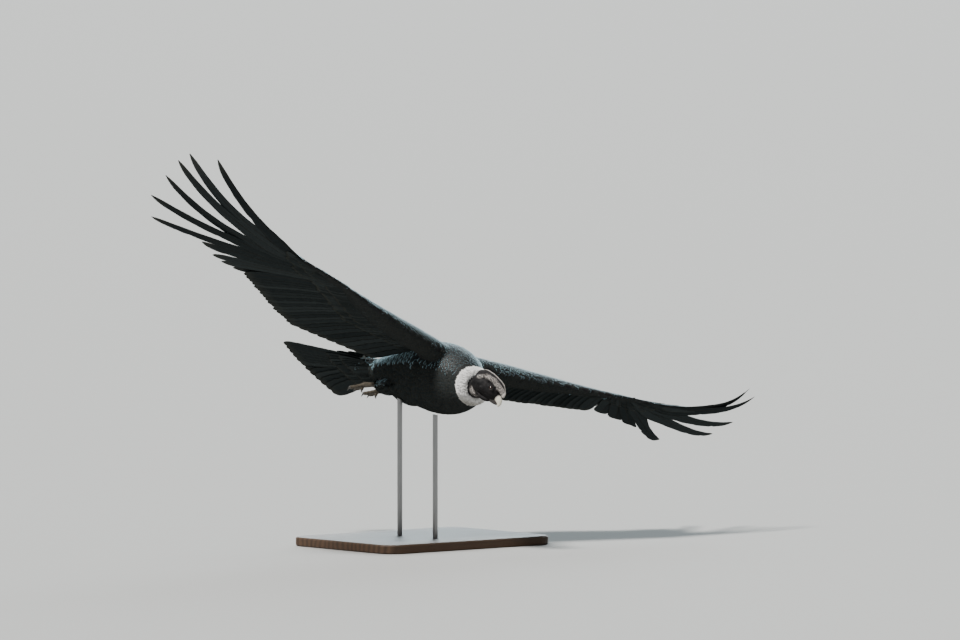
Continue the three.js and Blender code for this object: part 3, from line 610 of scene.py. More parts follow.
outlines = {
    "broad": [(0, 0.1), (0.03, 0.26), (0.16, 0.62), (0.4, 0.97), (0.8, 1), (0.89, 0.93), (0.94, 0.8),
              (0.975, 0.58), (0.993, 0.3), (1, 0.05)],
    "finger": [(0, 0.1), (0.03, 0.3), (0.26, 1), (0.36, 0.86), (0.45, 0.66), (0.58, 0.56),
               (0.84, 0.46), (0.93, 0.38), (0.975, 0.24), (1, 0.03)],
    "covert": [(0, 0.3), (0.3, 0.8), (0.62, 1), (0.82, 0.95), (0.92, 0.75), (0.975, 0.45), (1, 0.05)],
}


vaneForm = {"rounding": 0.012, "stemTip": 0.0005, "ripple": 0.025, "tipThick": 0.5, "edgeThin": 0.75,
            "ridge": 1.1, "ridgeTip": 0.0004, "step": 1e-3, "splits": 3, "splitPlace": (0.45, 0.97),
            "splitDepth": (0.05, 0.22), "splitHalf": 0.022, "wave": (30, 60)}


def layVane(point, f, shape):
    # one vane on a sheet; what f holds is in featherOf
    x, y, z = shape["points"].T
    q, s = f["q"], f["start"] + f["length"] * y
    level = mix(f["levels"][0], f["levels"][1], y)
    width = softRamp(outlines[f["outline"]], y, vaneForm["rounding"])
    columns = np.unique(np.round(x, 4))
    step = columns[columns > 1e-3].min()
    stem = mix(f["stem"], vaneForm["stemTip"], y)  # half width of the shaft
    splits = np.ones(len(y))
    for place, depth in f["splits"]:  # notches in the trailing edge, where the barbs have parted
        hit = np.maximum(0, 1 - np.abs(y - place) / vaneForm["splitHalf"])
        splits -= np.where(x < -0.5, depth * hit, 0)
    wide = np.where(x > 0, f["lead"] * width, f["trail"] * width) * splits
    wide = wide * (1 + vaneForm["ripple"] * np.sin(y * f["wave"] + f["tone"] * 40))
    reach = np.maximum(0, (np.abs(x) - step) / (1 - step))
    off = np.sign(x) * (np.minimum(np.abs(x) / step, 1) * stem + reach * np.maximum(0, wide - stem))
    spacing = np.linalg.norm(point(q + 0.5, s, 0) - point(q - 0.5, s, 0), axis=1)
    at = point(q, s, level)
    up = unit(point(q, s, level + vaneForm["step"]) - at)
    run = unit(point(q, s + vaneForm["step"], level) - at)
    cross = unit(np.cross(up, run))
    cross *= np.sign(np.sum(cross * (point(q + 0.5, s, level) - at), axis=1))[:, None]
    sheet = point(np.maximum(q + off / spacing, f["limit"]), s, level + off * f["slope"])
    flat = at + cross * col(off) + up * col(off * f["slope"])
    free = ease(*f["free"], y) if f["free"] else np.zeros(len(y))
    place = mix(sheet, flat, col(free))
    cup = -f["cup"] * (np.abs(off) / max(f["lead"], f["trail"])) ** 2  # each vane arches across
    thick = f["thick"] * mix(1, vaneForm["tipThick"], y) / 2 * (1 - vaneForm["edgeThin"] * reach)
    ridge = mix(f["stem"] * vaneForm["ridge"], vaneForm["ridgeTip"], y)
    ridge = np.where(np.abs(x) < step * 0.5, ridge, 0)
    place = place + up * col(cup + z * (thick + ridge))
    tip = ease(0.86, 1.0, y) + ease(0.75, 1.0, np.abs(x)) * 0.6
    silver = f["silver"] * ease(-0.15, 0.1, x) * ease(0.1, 0.3, y) * (1 - ease(0.88, 0.97, y))
    silver = silver * (z > 0.5) * (1 - ease(0.7, 0.98, np.abs(x)))  # on the outer web's upper face
    return {"points": place, "vane": np.array([off, s]).T, "low": f["low"] or None,
            "numbers": {"tone": np.full(len(y), f["tone"]), "tip": np.clip(tip, 0, 1) * f["worn"],
                        "silver": np.clip(silver, 0, 1)}}


def featherOf(q, length, width, lead, outline, **more):
    # where it lies and what it measures; low is for a row under the wing or the tail
    f = {"q": q, "start": 0, "length": length, "lead": width * lead, "trail": width * (1 - lead),
         "outline": outline, "levels": (0, 0), "slope": 0.09, "thick": 0.0014, "stem": 0.0024,
         "free": None, "cup": 0.002, "silver": 0, "worn": 0.4, "low": False, "limit": -99,
         "tone": draw.random(), "wave": draw.uniform(*vaneForm["wave"]), "splits": []}
    f.update(more)
    for _ in range(draw.integers(0, vaneForm["splits"])):
        f["splits"].append((draw.uniform(*vaneForm["splitPlace"]), draw.uniform(*vaneForm["splitDepth"])))
    return f


def silverAt(q):  # the pale panel fades towards the body
    return float(ease(*wingRows["fade"], q))


def flightFeathers(w):
    point, onHand = armSheet(w), handSheet(w)
    laid = []
    row = wingRows["tertials"]
    for i in range(row["count"]):
        q = row["first"] - row["reach"] * i / (row["count"] - 1)
        laid.append(layVane(point, featherOf(q, row["length"] + row["longer"] * (q + 0.5), row["width"],
                                             row["lead"], "broad", silver=row["silver"] * silverAt(q)),
                            longVane))
    row = wingRows["secondaries"]
    for i in range(row["count"]):
        q = arm["secondaries"] * (i + 0.5) / row["count"]
        length = row["length"] * mix(*row["grows"], q / arm["secondaries"]) * (1 + uneven(0.012))
        laid.append(layVane(point, featherOf(q, length, row["width"], row["lead"], "broad",
                                             silver=row["silver"], stem=row["stem"]), longVane))
    for k in range(1, primaries["count"] + 1):
        finger, outermost = k >= primaries["firstFinger"], k == primaries["count"]
        width = (primaries["width"] * (1 if finger else primaries["innerWidth"])
                 * (primaries["outerWidth"] if outermost else 1))
        lead = primaries["outerLead" if outermost else "lead"]
        laid.append(layVane(onHand, featherOf(
            k, float(ramp(primaries["lengths"], k)), width, lead, "finger" if finger else "broad",
            stem=primaries["stem"], thick=primaries["thick"], cup=primaries["cup"],
            free=primaries["free"] if finger else None,
            silver=0 if finger else primaries["silver"]), longVane))
    return laid


# Rows of feathers on a wing. A row of coverts: how many, from which to which flight feather, where
# their roots lie along it, length, width, height over it at root and tip, and how silver
wingRows = {
    "tertials": {"count": 9, "first": -0.35, "reach": 6.3, "length": 0.372, "longer": 0.0047,
                 "width": 0.062, "lead": 0.42, "silver": 0.85},
    "secondaries": {"count": 16, "length": 0.375, "grows": (0.99, 1.04), "width": 0.056, "lead": 0.42,
                    "stem": 0.0026, "silver": 0.9},
    "fade": (-5.5, 0.5), "tuck": (7.5, 12.5), "tucked": (0.016, 0.6, 0.3),  # outwards, root, tip
    "arm": [
        (24, 0.3, 12.7, 0.004, 0.15, 0.036, (0.0055, 0.005), 0.85),
        (24, 0.0, 12.6, -0.004, 0.104, 0.034, (0.0085, 0.008), 0.5),
        (25, 0.2, 12.8, -0.012, 0.072, 0.03, (0.0115, 0.0105), 0.12),
        (24, 0.3, 12.7, 0.004, 0.128, 0.034, (-0.005, -0.0045), 0),
        (24, 0.1, 12.6, -0.004, 0.088, 0.032, (-0.0085, -0.0075), 0),
    ],
    "upper": [
        (11, -6.3, -0.4, 0.0, 0.168, 0.044, (0.0062, 0.0054), 0.85),
        (11, -6.0, -0.2, -0.004, 0.11, 0.04, (0.0095, 0.0085), 0.5),
        (11, -6.3, -0.4, 0.004, 0.13, 0.044, (-0.0058, -0.005), 0),
        (10, -6.1, -0.2, -0.004, 0.088, 0.04, (-0.009, -0.0075), 0),
    ],
    "hand": [
        (10, 1.5, 9.3, 0.004, 0.155, 0.033, (0.0042, 0.0052), 0),
        (10, 1.2, 9.1, -0.002, 0.1, 0.03, (0.0062, 0.0072), 0),
        (10, 1.5, 9.0, 0.004, 0.124, 0.033, (-0.0042, -0.0052), 0),
        (9, 1.2, 8.8, 0.0, 0.08, 0.03, (-0.0062, -0.0072), 0),
    ],
}


def uneven(most):
    return draw.uniform(-most, most)


def wingCoverts(w):
    laid, (outwards, rootDown, tipDown) = [], wingRows["tucked"]
    for sheet, rows in ((armSheet(w), wingRows["arm"]), (armSheet(w), wingRows["upper"]),
                        (handSheet(w), wingRows["hand"])):
        for count, first, last, start, length, width, levels, silver in rows:
            for i in range(count):
                q = mix(first, last, i / (count - 1))
                # near the wrist the upper rows of the arm are tucked under those of the hand
                tuck = float(ease(*wingRows["tuck"], q)) * (rows is wingRows["arm"] and levels[0] > 0)
                f = featherOf(q, length * (1 + uneven(0.05)), width, 0.46, "covert",
                              start=start + uneven(0.003) + outwards * tuck,
                              levels=(levels[0] * (1 - rootDown * tuck), levels[1] * (1 - tipDown * tuck)),
                              low=levels[0] < 0, silver=silver * silverAt(q),
                              thick=0.0008, stem=0.0011, cup=0.0012, worn=0.7)
                laid.append(layVane(sheet, f, rowVane))
    return laid


alula = {"count": 4, "length": 0.122, "shorter": 0.014, "width": 0.024, "start": 0.034,
         "spacing": 0.009, "lower": (0.006, 0.0012), "behind": (0.005, 0.0018), "dip": 0.015,
         "fan": (0.02, 0.05)}


def alulaFeathers(w):
    back, up = hindward(w["handBasis"], w["armDroop"] + 4)
    laid = []
    for i in range(alula["count"]):
        lower, behind, fan = (alula[key][0] + alula[key][1] * i for key in ("lower", "behind", "fan"))
        root = (w["wrist"] + w["hand"] * (alula["start"] + alula["spacing"] * i)
                - up * lower + back * behind)
        run = unit(w["hand"] - up * alula["dip"] + back * fan)

        def point(q, s, lift, root=root, run=run):
            q, s, lift = np.broadcast_arrays(np.asarray(q, float), s, lift)
            return root + col(s) * run - col(q * 0.01) * back + col(lift) * up
        f = featherOf(0, alula["length"] - alula["shorter"] * i, alula["width"], 0.45, "broad",
                      thick=0.0009, stem=0.0012, cup=0.001)
        laid.append(layVane(point, f, rowVane))
    return laid


wingFrames = {name: wingFrame(w) for name, w in wings.items()}

# Body shapes, as rings of points

torso = [(0.312, 0.044, 0.002, -0.092), (0.292, 0.068, 0.034, -0.127), (0.25, 0.098, 0.072, -0.145),
         (0.19, 0.122, 0.1, -0.157), (0.12, 0.131, 0.112, -0.156), (0.04, 0.126, 0.106, -0.141),
         (-0.05, 0.108, 0.088, -0.118), (-0.14, 0.084, 0.064, -0.092), (-0.21, 0.062, 0.044, -0.07),
         (-0.258, 0.046, 0.03, -0.052)]  # place along the body, half width, top, bottom
flesh = {
    "armFront": [(0, 0.066), (0.25, 0.052), (0.6, 0.034), (1, 0.024)],
    "armHind": [(0, 0.076), (0.2, 0.1), (0.46, 0.128), (0.75, 0.092), (1, 0.042)],
    "armThick": [(0, 0.094), (0.25, 0.092), (0.5, 0.078), (0.8, 0.05), (1, 0.032)],
    "armNose": [(0, 0.014), (1, 0.008)],
    "handFront": [(0, 0.023), (0.5, 0.02), (1, 0.013), (1.2, 0.006)],
    "handHind": [(0, 0.042), (0.5, 0.036), (1, 0.022), (1.2, 0.008)],
    "handThick": [(0, 0.028), (0.5, 0.022), (1, 0.016), (1.2, 0.005)],
    "handNose": [(0, 0.008), (1, 0.002)],
    "leg": [[(-0.03, 0.062, -0.08), (-0.09, 0.06, -0.084), (-0.14, 0.05, -0.08), (-0.176, 0.04, -0.072)],
            [(0, 0.032), (0.3, 0.037), (0.7, 0.025), (1, 0.014)]],
    "bodyDepth": 0.009, "armDepth": 0.006, "handDepth": 0.003, "legDepth": 0.007, "sides": 24,
}
tail = {"x": -0.24, "z": 0.009, "pairs": 6, "rootSpacing": 0.0057, "spread": 17, "middle": 0.414,
        "outer": 0.396, "width": 0.062, "roll": -19, "pitch": -3, "step": 0.0018,
        "core": [(-0.01, 0.044, 0.016, -0.03), (0.03, 0.056, 0.009, -0.022),
                 (0.06, 0.048, 0.004, -0.015), (0.1, 0.024, 0.001, -0.01)],
        "rows": [  # pairs, every, start, length, width, level, step
            (5, 1.05, 0.03, 0.15, 0.05, 0.0058, 0.0008),
            (5, 1.1, 0.005, 0.12, 0.05, 0.0098, 0.0008),
            (5, 1.05, 0.03, 0.19, 0.054, -0.0118, -0.0008),
            (5, 1.1, 0.0, 0.15, 0.054, -0.0158, -0.0008)]}


def oval(x, half, top, bottom, sides):
    a = 2 * np.pi * np.arange(sides) / sides
    return np.array([np.full(sides, x), half * np.cos(a),
                     (top + bottom) / 2 + (top - bottom) / 2 * np.sin(a)]).T


def sections(table, count, sides, depth=0.0):  # smooth ovals through a table of sections
    rows = along(table, np.linspace(0, 1, count))
    rings = []
    for i, (x, half, top, bottom) in enumerate(rows):
        ends = depth * (1 if i == 0 else -1 if i == count - 1 else 0) * np.sign(rows[1, 0] - rows[0, 0])
        rings.append(oval(x + ends, half - depth, top - depth, bottom + depth, sides))
    return rings


def aerofoil(at, back, up, part, v, arched, depth):
    front, hind = ramp(flesh[part + "Front"], v) - depth, ramp(flesh[part + "Hind"], v) - depth * 1.5
    thick, nose = ramp(flesh[part + "Thick"], v), ramp(flesh[part + "Nose"], v)
    a = 2 * np.pi * (np.arange(flesh["sides"]) + 0.5) / flesh["sides"]
    u = (1 - np.cos(a)) / 2
    tall = np.maximum(0.0012, thick * 1.1 * u ** 0.45 * (1 - u) ** 0.75 - depth * 1.2)
    behind = mix(-front, hind, u)
    rise = np.sign(np.sin(a)) * tall - nose * (1 - u) ** 2 + (camber(behind) if arched else 0)
    return at + col(behind) * back + col(rise) * up


def limb(points, radii, steps, sides, depth=0.0, flatten=1.0):
    t = np.linspace(0, 1, steps + 1)
    centres = along(points, t)
    runs = unit(along(points, t + 0.01) - along(points, t - 0.01))
    rings = []
    side = unit(np.cross((0, 0, 1.0), runs[0]))
    for centre, run, share in zip(centres, runs, t):
        side = unit(side - run * np.dot(side, run))
        above = np.cross(run, side)
        a = 2 * np.pi * np.arange(sides) / sides
        radius = float(ramp(radii, share)) - depth
        rings.append(centre + radius * (col(np.cos(a)) * side + col(flatten * np.sin(a)) * above))
    return rings


def addLoft(bm, rings):  # circles set out as rings, bridged and closed at both ends
    loops = []
    for ring in rings:
        made = bmesh.ops.create_circle(bm, segments=len(ring), radius=1)["verts"]
        for v, p in zip(made, ring):
            v.co = p
        loops.append(sorted({e for v in made for e in v.link_edges}, key=lambda e: e.index))
    for a, b in zip(loops, loops[1:]):
        bmesh.ops.bridge_loops(bm, edges=a + b)
    for loop in (loops[0], loops[-1]):
        bmesh.ops.contextual_create(bm, geom=loop)


def addBlob(bm, centre, sizes, axes, segments=16):
    made = bmesh.ops.create_uvsphere(bm, u_segments=segments, v_segments=segments // 2 + 2, radius=1)
    basis = Matrix([a * s for a, s in zip([Vector(x) for x in axes], sizes)]).transposed().to_4x4()
    bmesh.ops.transform(bm, matrix=Matrix.Translation(Vector(centre)) @ basis, verts=made["verts"])


def addRing(bm, centre, axis, radius, tube):  # a ring round an axis
    axis = Vector(axis).normalized()
    spot = bmesh.ops.create_circle(bm, segments=12, radius=tube)["verts"]
    turn = axis.to_track_quat("Z", "Y").to_matrix().to_4x4()
    place = Matrix.Translation(Vector(centre)) @ turn @ Matrix.Translation((radius, 0, 0))
    bmesh.ops.transform(bm, matrix=place @ Matrix.Rotation(math.pi / 2, 4, "X"), verts=spot)
    edges = list({e for v in spot for e in v.link_edges})
    bmesh.ops.spin(bm, geom=spot + edges, cent=centre, axis=axis, angle=2 * math.pi, steps=40,
                   use_merge=True)


def evaluated(thing, name):
    graph = bpy.context.evaluated_depsgraph_get()
    mesh = bpy.data.meshes.new_from_object(thing.evaluated_get(graph))
    mesh.name = name
    return mesh


def remeshed(bm, voxel, smooth, name):
    bmesh.ops.remove_doubles(bm, verts=bm.verts[:], dist=1e-6)
    bmesh.ops.recalc_face_normals(bm, faces=bm.faces[:])
    rough = linked(name, meshFrom(bm, name))
    remesh = rough.modifiers.new("remesh", "REMESH")
    remesh.mode, remesh.voxel_size, remesh.use_smooth_shade = "VOXEL", voxel, True
    even = rough.modifiers.new("smooth", "SMOOTH")
    even.iterations, even.factor = smooth, 0.5
    done = evaluated(rough, name)
    bpy.data.objects.remove(rough)
    return done


# Head and neck. The head's own frame has x along the face, y to its left, z towards the crown.

head = {"at": (0.415, -0.018, -0.058), "forward": (0.76, 0.461, -0.444), "crown": (0.28, 0.2, 0.94),
        "sections": [(-0.072, 0.015, 0.01, -0.024), (-0.06, 0.025, 0.021, -0.032),
                     (-0.038, 0.03, 0.027, -0.035), (-0.012, 0.031, 0.029, -0.034),
                     (0.012, 0.028, 0.025, -0.033), (0.027, 0.021, 0.016, -0.03),
                     (0.039, 0.013, 0.007, -0.026)],
        "eye": (0.01, 0.0225, 0.003), "eyeRadius": 0.0095, "irisShare": 0.72, "lid": 0.0024,
        "lidOut": 0.0045, "lidShare": 0.84, "foldThick": 0.005,
        "folds": [(-0.04, 0.023, 0.014, 0.009, 0.008), (-0.018, 0.025, 0.016, 0.009, 0.007),
                  (0.026, 0.016, 0.011, 0.007, 0.006), (-0.038, 0.025, -0.008, 0.008, 0.008),
                  (-0.018, 0.027, -0.017, 0.01, 0.006)],
        "combHalf": 0.01, "combStart": -0.077, "combEnd": 0.058,
        "combTop": [(0, 0.024), (0.1, 0.043), (0.24, 0.049), (0.42, 0.05), (0.62, 0.048),
                    (0.77, 0.044), (0.88, 0.037), (1, 0.018)],
        "combFoot": [(0, 0.011), (0.1, 0.008), (0.26, 0.016), (0.45, 0.02), (0.7, 0.015),
                     (0.88, 0.007), (1, 0.006)],
        "wattle": [[(0.028, 0, -0.03), (0.012, 0, -0.038), (-0.01, 0, -0.041), (-0.032, 0, -0.037)],
                   [(0, 0.004), (0.3, 0.008), (0.7, 0.009), (1, 0.005)]]}
headX = unit(head["forward"])
headY = unit(np.cross(head["crown"], headX))
headZ = np.cross(headX, headY)
headAxes = (headX, headY, headZ)


def onHead(p):  # from the head's own frame to the bird's
    x, y, z = np.asarray(p, float).T
    return np.array(head["at"]) + col(x) * headX + col(y) * headY + col(z) * headZ


def inHead(points):  # and back: x, y and z of all the points
    return ((points - np.array(head["at"])) @ np.array(headAxes).T).T


neck = {"curve": [(0.262, 0, -0.034), (0.318, -0.004, -0.048), (0.358, -0.012, -0.052),
                  tuple(onHead((-0.04, 0, -0.008)))],
        "radii": [(0, 0.044), (0.4, 0.039), (0.7, 0.033), (1, 0.028)],
        "rolls": [(0.5, 0.0355, 0.0036), (0.6, 0.034, 0.004), (0.7, 0.032, 0.004),
                  (0.8, 0.03, 0.004), (0.9, 0.0285, 0.0036)]}  # share of the way, radius, thickness
marks = {  # on the head, seen from its side: x along the face and z towards the crown
    "band": [(-0.053, 0.009), (-0.042, 0.025), (-0.005, 0.031), (0.023, 0.024), (0.04, 0.02),
             (0.053, 0.014)],  # pale wrinkles under the comb
    "mouth": [(0.036, -0.0165), (0.02, -0.0175), (0.006, -0.02), (-0.004, -0.0245)],
    # bulbs on both sides of the neck, in the bird's frame
    "caruncles": (0.348, 0.024, -0.076), "inward": 0.01, "spread": 0.027, "bulbs": 16,
    "bulbSpacing": 0.0042, "bulbTurn": 2.4, "bulbSize": (0.0042, 0.0036, 0.0042), "bulbRadius": 0.0345}


def knotAt(side):  # the middle of the bulbs on one side of the neck
    return np.array(marks["caruncles"]) * (1, side, 1) - (0, marks["inward"], 0)


def tailFrame():  # its root, and the ways back, left and up from there
    turn = (Matrix.Rotation(math.radians(tail["roll"]), 3, "X")
            @ Matrix.Rotation(math.radians(tail["pitch"]), 3, "Y"))
    axes = [np.array(turn @ Vector(a)) for a in ((-1, 0, 0), (0, 1, 0), (0, 0, 1))]
    return (np.array((tail["x"], 0, tail["z"])), *axes)


def bodySkin():  # under the feathers: torso, tail's base, wings and thighs as one
    bm = bmesh.new()
    addLoft(bm, sections(torso, 40, 48, flesh["bodyDepth"]))
    root, back, left, up = tailFrame()
    addLoft(bm, [root + col(r[:, 0]) * back + col(r[:, 1]) * left + col(r[:, 2]) * up
                 for r in sections(tail["core"], 8, 20, 0.002)])
    for w in wingFrames.values():
        addLoft(bm, [aerofoil(w["shoulder"] + w["arm"] * arm["length"] * v, w["armBack"],
                              w["armNormal"], "arm", v, True, flesh["armDepth"])
                     for v in np.linspace(-0.06, 1, 24)])
        hand = []
        for v in np.linspace(-0.06, 1.15, 14):
            b, n = hindward(w["handBasis"], mix(w["armDroop"], w["tipDroop"], min(v, 1) * 0.8))
            hand.append(aerofoil(w["wrist"] + w["hand"] * arm["hand"] * v, b, n, "hand", v, False,
                                 flesh["handDepth"]))
        addLoft(bm, hand)
        curve, radii = flesh["leg"]
        addLoft(bm, limb([(x, y * w["side"], z) for x, y, z in curve], radii, 12, 20,
                         flesh["legDepth"]))
    return remeshed(bm, voxel=0.005, smooth=8, name="bodySkin")


def headSkin():  # neck, skull, comb, wattle, lids and folds as one
    bm = bmesh.new()
    addLoft(bm, limb(neck["curve"], neck["radii"], 24, 36))
    for share, radius, tube in neck["rolls"]:
        a, b = along(neck["curve"], np.array([share, share + 0.01]))
        addRing(bm, a, b - a, radius - 0.001, tube)
    addLoft(bm, [onHead(r) for r in sections(head["sections"], 22, 36)])
    x, y, z = head["eye"]
    for side in (-1, 1):
        addRing(bm, onHead((x, side * (y + head["lidOut"]), z)), headY,
                head["eyeRadius"] * head["lidShare"], head["lid"])
        for fx, fy, fz, long, tall in head["folds"]:
            addBlob(bm, onHead((fx, side * fy, fz)), (long, head["foldThick"], tall), headAxes)
    comb = []
    for v in np.linspace(0, 1, 26):
        half = head["combHalf"] * (0.5 + 0.5 * math.sin(math.pi * v))
        top, foot = softRamp(head["combTop"], v, 0.05), softRamp(head["combFoot"], v, 0.05)
        ring = oval(mix(head["combStart"], head["combEnd"], v), half, top, foot - 0.004, 24)
        comb.append(onHead(ring))
    addLoft(bm, comb)
    curve, radii = head["wattle"]
    addLoft(bm, limb([tuple(onHead(p)) for p in curve], radii, 12, 20, flatten=0.8))
    centres = along(neck["curve"], np.linspace(0.3, 1, 40))
    for side in (-1, 1):
        for i in range(marks["bulbs"]):
            angle = marks["bulbTurn"] * i
            spot = knotAt(side) + marks["bulbSpacing"] * math.sqrt(i) * np.array(
                (math.cos(angle), 0.2, math.sin(angle)))
            centre = centres[np.argmin(np.linalg.norm(centres - spot, axis=1))]
            spot = centre + unit(spot - centre) * marks["bulbRadius"]
            addBlob(bm, spot, marks["bulbSize"], headAxes, 10)
    return remeshed(bm, voxel=0.0017, smooth=3, name="headSkin")


def joinedSkin():
    body, top = linked("skinA", bodySkin()), linked("skinB", headSkin())
    union = body.modifiers.new("union", "BOOLEAN")
    union.operation, union.solver, union.object = "UNION", "MANIFOLD", top
    mesh = evaluated(body, "skin")
    bpy.data.objects.remove(body)
    bpy.data.objects.remove(top)
    return mesh


skinMesh = joinedSkin()
print("skin", len(skinMesh.polygons))


def unwrap(mesh):
    thing = linked("unwrapped", mesh)
    bpy.context.view_layer.objects.active = thing
    thing.select_set(True)
    mesh.uv_layers.new(name="OFBake")
    bpy.ops.object.mode_set(mode="EDIT")
    bpy.ops.mesh.select_all(action="SELECT")
    bpy.ops.uv.smart_project(angle_limit=1.2, island_margin=0.002)
    bpy.ops.object.mode_set(mode="OBJECT")
    bpy.data.objects.remove(thing)


def vectorsOf(items, key):
    values = np.zeros(len(items) * 3)
    items.foreach_get(key, values)
    return values.reshape(-1, 3)


unwrap(skinMesh)
skinPoints = vectorsOf(skinMesh.vertices, "co")

ruff = {"at": (0.306, -0.003, -0.047), "radius": 0.046, "core": 0.015, "locks": 4000,
        "start": (-1.5, 2.4),  # round the ring's tube: 0 outwards, towards the head above 0
        "length": (0.014, 0.031), "half": (0.0016, 0.0034), "puff": (0.006, 0.012), "curl": 50,
        "sweep": 0.32, "dusty": 0.3, "shaded": 0.9}
ruffAxis = unit(along(neck["curve"], np.array([0.43])) - along(neck["curve"], np.array([0.41])))[0]


def fromRuff(p):  # how far ahead of the ring, how far off its axis, and which way out
    away = p - np.array(ruff["at"])
    ahead = away @ ruffAxis
    off = away - col(ahead) * ruffAxis
    return ahead, np.linalg.norm(off, axis=-1), unit(off)


def fromLine(line, x, z):  # distance in a plane from a line of points
    best = np.full(x.shape, 9.0)
    for (ax, az), (bx, bz) in zip(line, line[1:]):
        t = ((x - ax) * (bx - ax) + (z - az) * (bz - az)) / ((bx - ax) ** 2 + (bz - az) ** 2)
        t = np.clip(t, 0, 1)
        best = np.minimum(best, np.hypot(x - mix(ax, bx, t), z - mix(az, bz, t)))
    return best


relief = {"cells": (210, 260), "creases": (0.0004, 0.0017), "lumps": (0.0006, 0.0011), "mouth": 0.0017}


def shapeSkin(mesh, points):
    # colours and fine folds: where the comb, the painted highlight on its rim, the pale creases and the
    # hidden white base lie
    x, y, z = inHead(points)
    v = np.clip((x - head["combStart"]) / (head["combEnd"] - head["combStart"]), 0, 1)
    foot, top = softRamp(head["combFoot"], v, 0.05), softRamp(head["combTop"], v, 0.05)
    skull = (x > -0.082) & (x < 0.07) & (np.abs(y) < 0.04) & (z > -0.05)
    near = skull & (x < 0.065) & (np.abs(y) < 0.014)
    comb = near * ease(-0.002, 0.004, z - foot)
    # rim: a painted highlight along the comb's top ridge and round its front end
    rim = near * ease(-0.0045, -0.001, z - top) * ease(0.02, 0.12, v) * (np.abs(y) < 0.006)
    rim = np.maximum(rim, near * ease(-0.006, -0.002, x - head["combEnd"] + 0.003) * (z > 0.004))
    band = skull * (1 - ease(0.006, 0.012, fromLine(marks["band"], x, z)))
    slit = skull * np.exp(-(fromLine(marks["mouth"], x, z) / 0.0011) ** 2) * (np.abs(y) > 0.006)
    ahead, out, _ = fromRuff(points)
    spots = np.zeros(len(points))
    for side in (-1, 1):
        away = np.linalg.norm(points - knotAt(side), axis=1) / marks["spread"]
        spots = np.maximum(spots, 1 - ease(0.5, 1.0, away))
    bare = (ahead > 0.0) & (out < 0.12) & (points[:, 0] < 0.52) & (np.abs(points[:, 1]) < 0.14)
    wrinkled = np.clip(band * (1 - rim) + spots, 0, 1)
    shift = np.zeros(len(points))
    for i in np.nonzero(bare)[0]:
        p = Vector(points[i])
        d, _ = noise.voronoi(p * mix(*relief["cells"], wrinkled[i]))
        crease = min(1.0, (d[1] - d[0]) * 2.2) - 0.55
        shift[i] = (crease * mix(*relief["creases"], wrinkled[i])
                    + noise.noise(p * 90) * mix(*relief["lumps"], comb[i]))
    shift -= slit * relief["mouth"]
    points = points + vectorsOf(mesh.vertices, "normal") * col(shift)
    mesh.vertices.foreach_set("co", points.astype(np.float32).ravel())
    mesh.update()
    white = (1 - ease(0.008, 0.016, ahead)) * ease(-0.034, -0.028, ahead) * (out < 0.069)
    for name, values in (("comb", comb), ("rim", rim), ("slit", slit), ("white", white),
                         ("pale", np.clip(band * 0.95 + spots, 0, 1)),
                         ("face", ease(-0.03, 0.0, x) * (1 - comb) * skull)):
        keep(mesh, name, values)


shapeSkin(skinMesh, skinPoints)
skinTree = BVHTree.FromPolygons([tuple(p) for p in skinPoints],
                                [tuple(f.vertices) for f in skinMesh.polygons])

# The small feathers and their lie over the skin

ground = np.array(birdPlace.to_3x3().transposed() @ Vector((0, 0, 1)))  # straight up
coat = {"size": 0.84, "onBody": (0.058, 0.026), "onThighs": 0.046, "onWings": (0.019, 0.042),
        "spacing": 0.29, "tries": 120000, "steps": 5, "lift": 0.06, "sink": 0.001, "wide": 0.74,
        "cup": 0.16, "thick": 0.0007, "turned": 0.09, "parted": 1.3, "outwards": 0.22,
        "low": 0.38, "wingLow": -0.1,  # matt where the skin faces up less than this
        "wingFrom": (0.085, 0.17), "hind": 0.68, "collar": (-0.02, 0.012, 0.063), "perPiece": 2400}


def wingAt(p):
    return wingFrames["left" if p[1] > 0 else "right"]


def lieOf(p):
    w = wingAt(p)
    onWing = float(ease(*coat["wingFrom"], abs(p[1])))
    ahead, _, outward = fromRuff(p)  # near the ruff they lie away from it
    parted = outward * coat["parted"] * float(ease(-0.08, -0.01, ahead))
    body = unit(np.array((-1.0, 1.2 * p[1], 0.0)) + parted)
    return unit(mix(body, w["armBack"] + w["arm"] * coat["outwards"], onWing)), onWing, w


def sizeOf(p, onWing, w):  # a feather's length at this place on the skin
    body = mix(*coat["onBody"], float(ease(0.1, 0.28, p[0])))
    body *= mix(1.0, 0.8, float(ease(-0.02, 0.06, p[2])))
    if p[2] < -0.07 and p[0] < -0.03:
        body = coat["onThighs"]
    behind = float(np.dot(p - w["shoulder"], w["armBack"]))
    out = float(np.dot(p - w["shoulder"], w["arm"]))
    wing = mix(*coat["onWings"], float(ease(-0.05, 0.07, behind)))
    wing *= mix(1.0, 0.7, float(ease(0.3, 0.7, out)))
    return coat["size"] * mix(body, wing, onWing)


def allowed(p):  # not on the bare neck and head, nor round the thin hind edges of the wings
    w = wingAt(p)
    share = np.dot(p - w["shoulder"], w["arm"]) / arm["length"]
    behind = np.dot(p - w["shoulder"], w["armBack"])
    if share > 0.05 and behind > coat["hind"] * ramp(flesh["armHind"], share):
        return False
    ahead, out, _ = fromRuff(p)
    before, upTo, outside = coat["collar"]
    return abs(p[1]) > 0.14 or ahead < before or (ahead < upTo and out > outside)


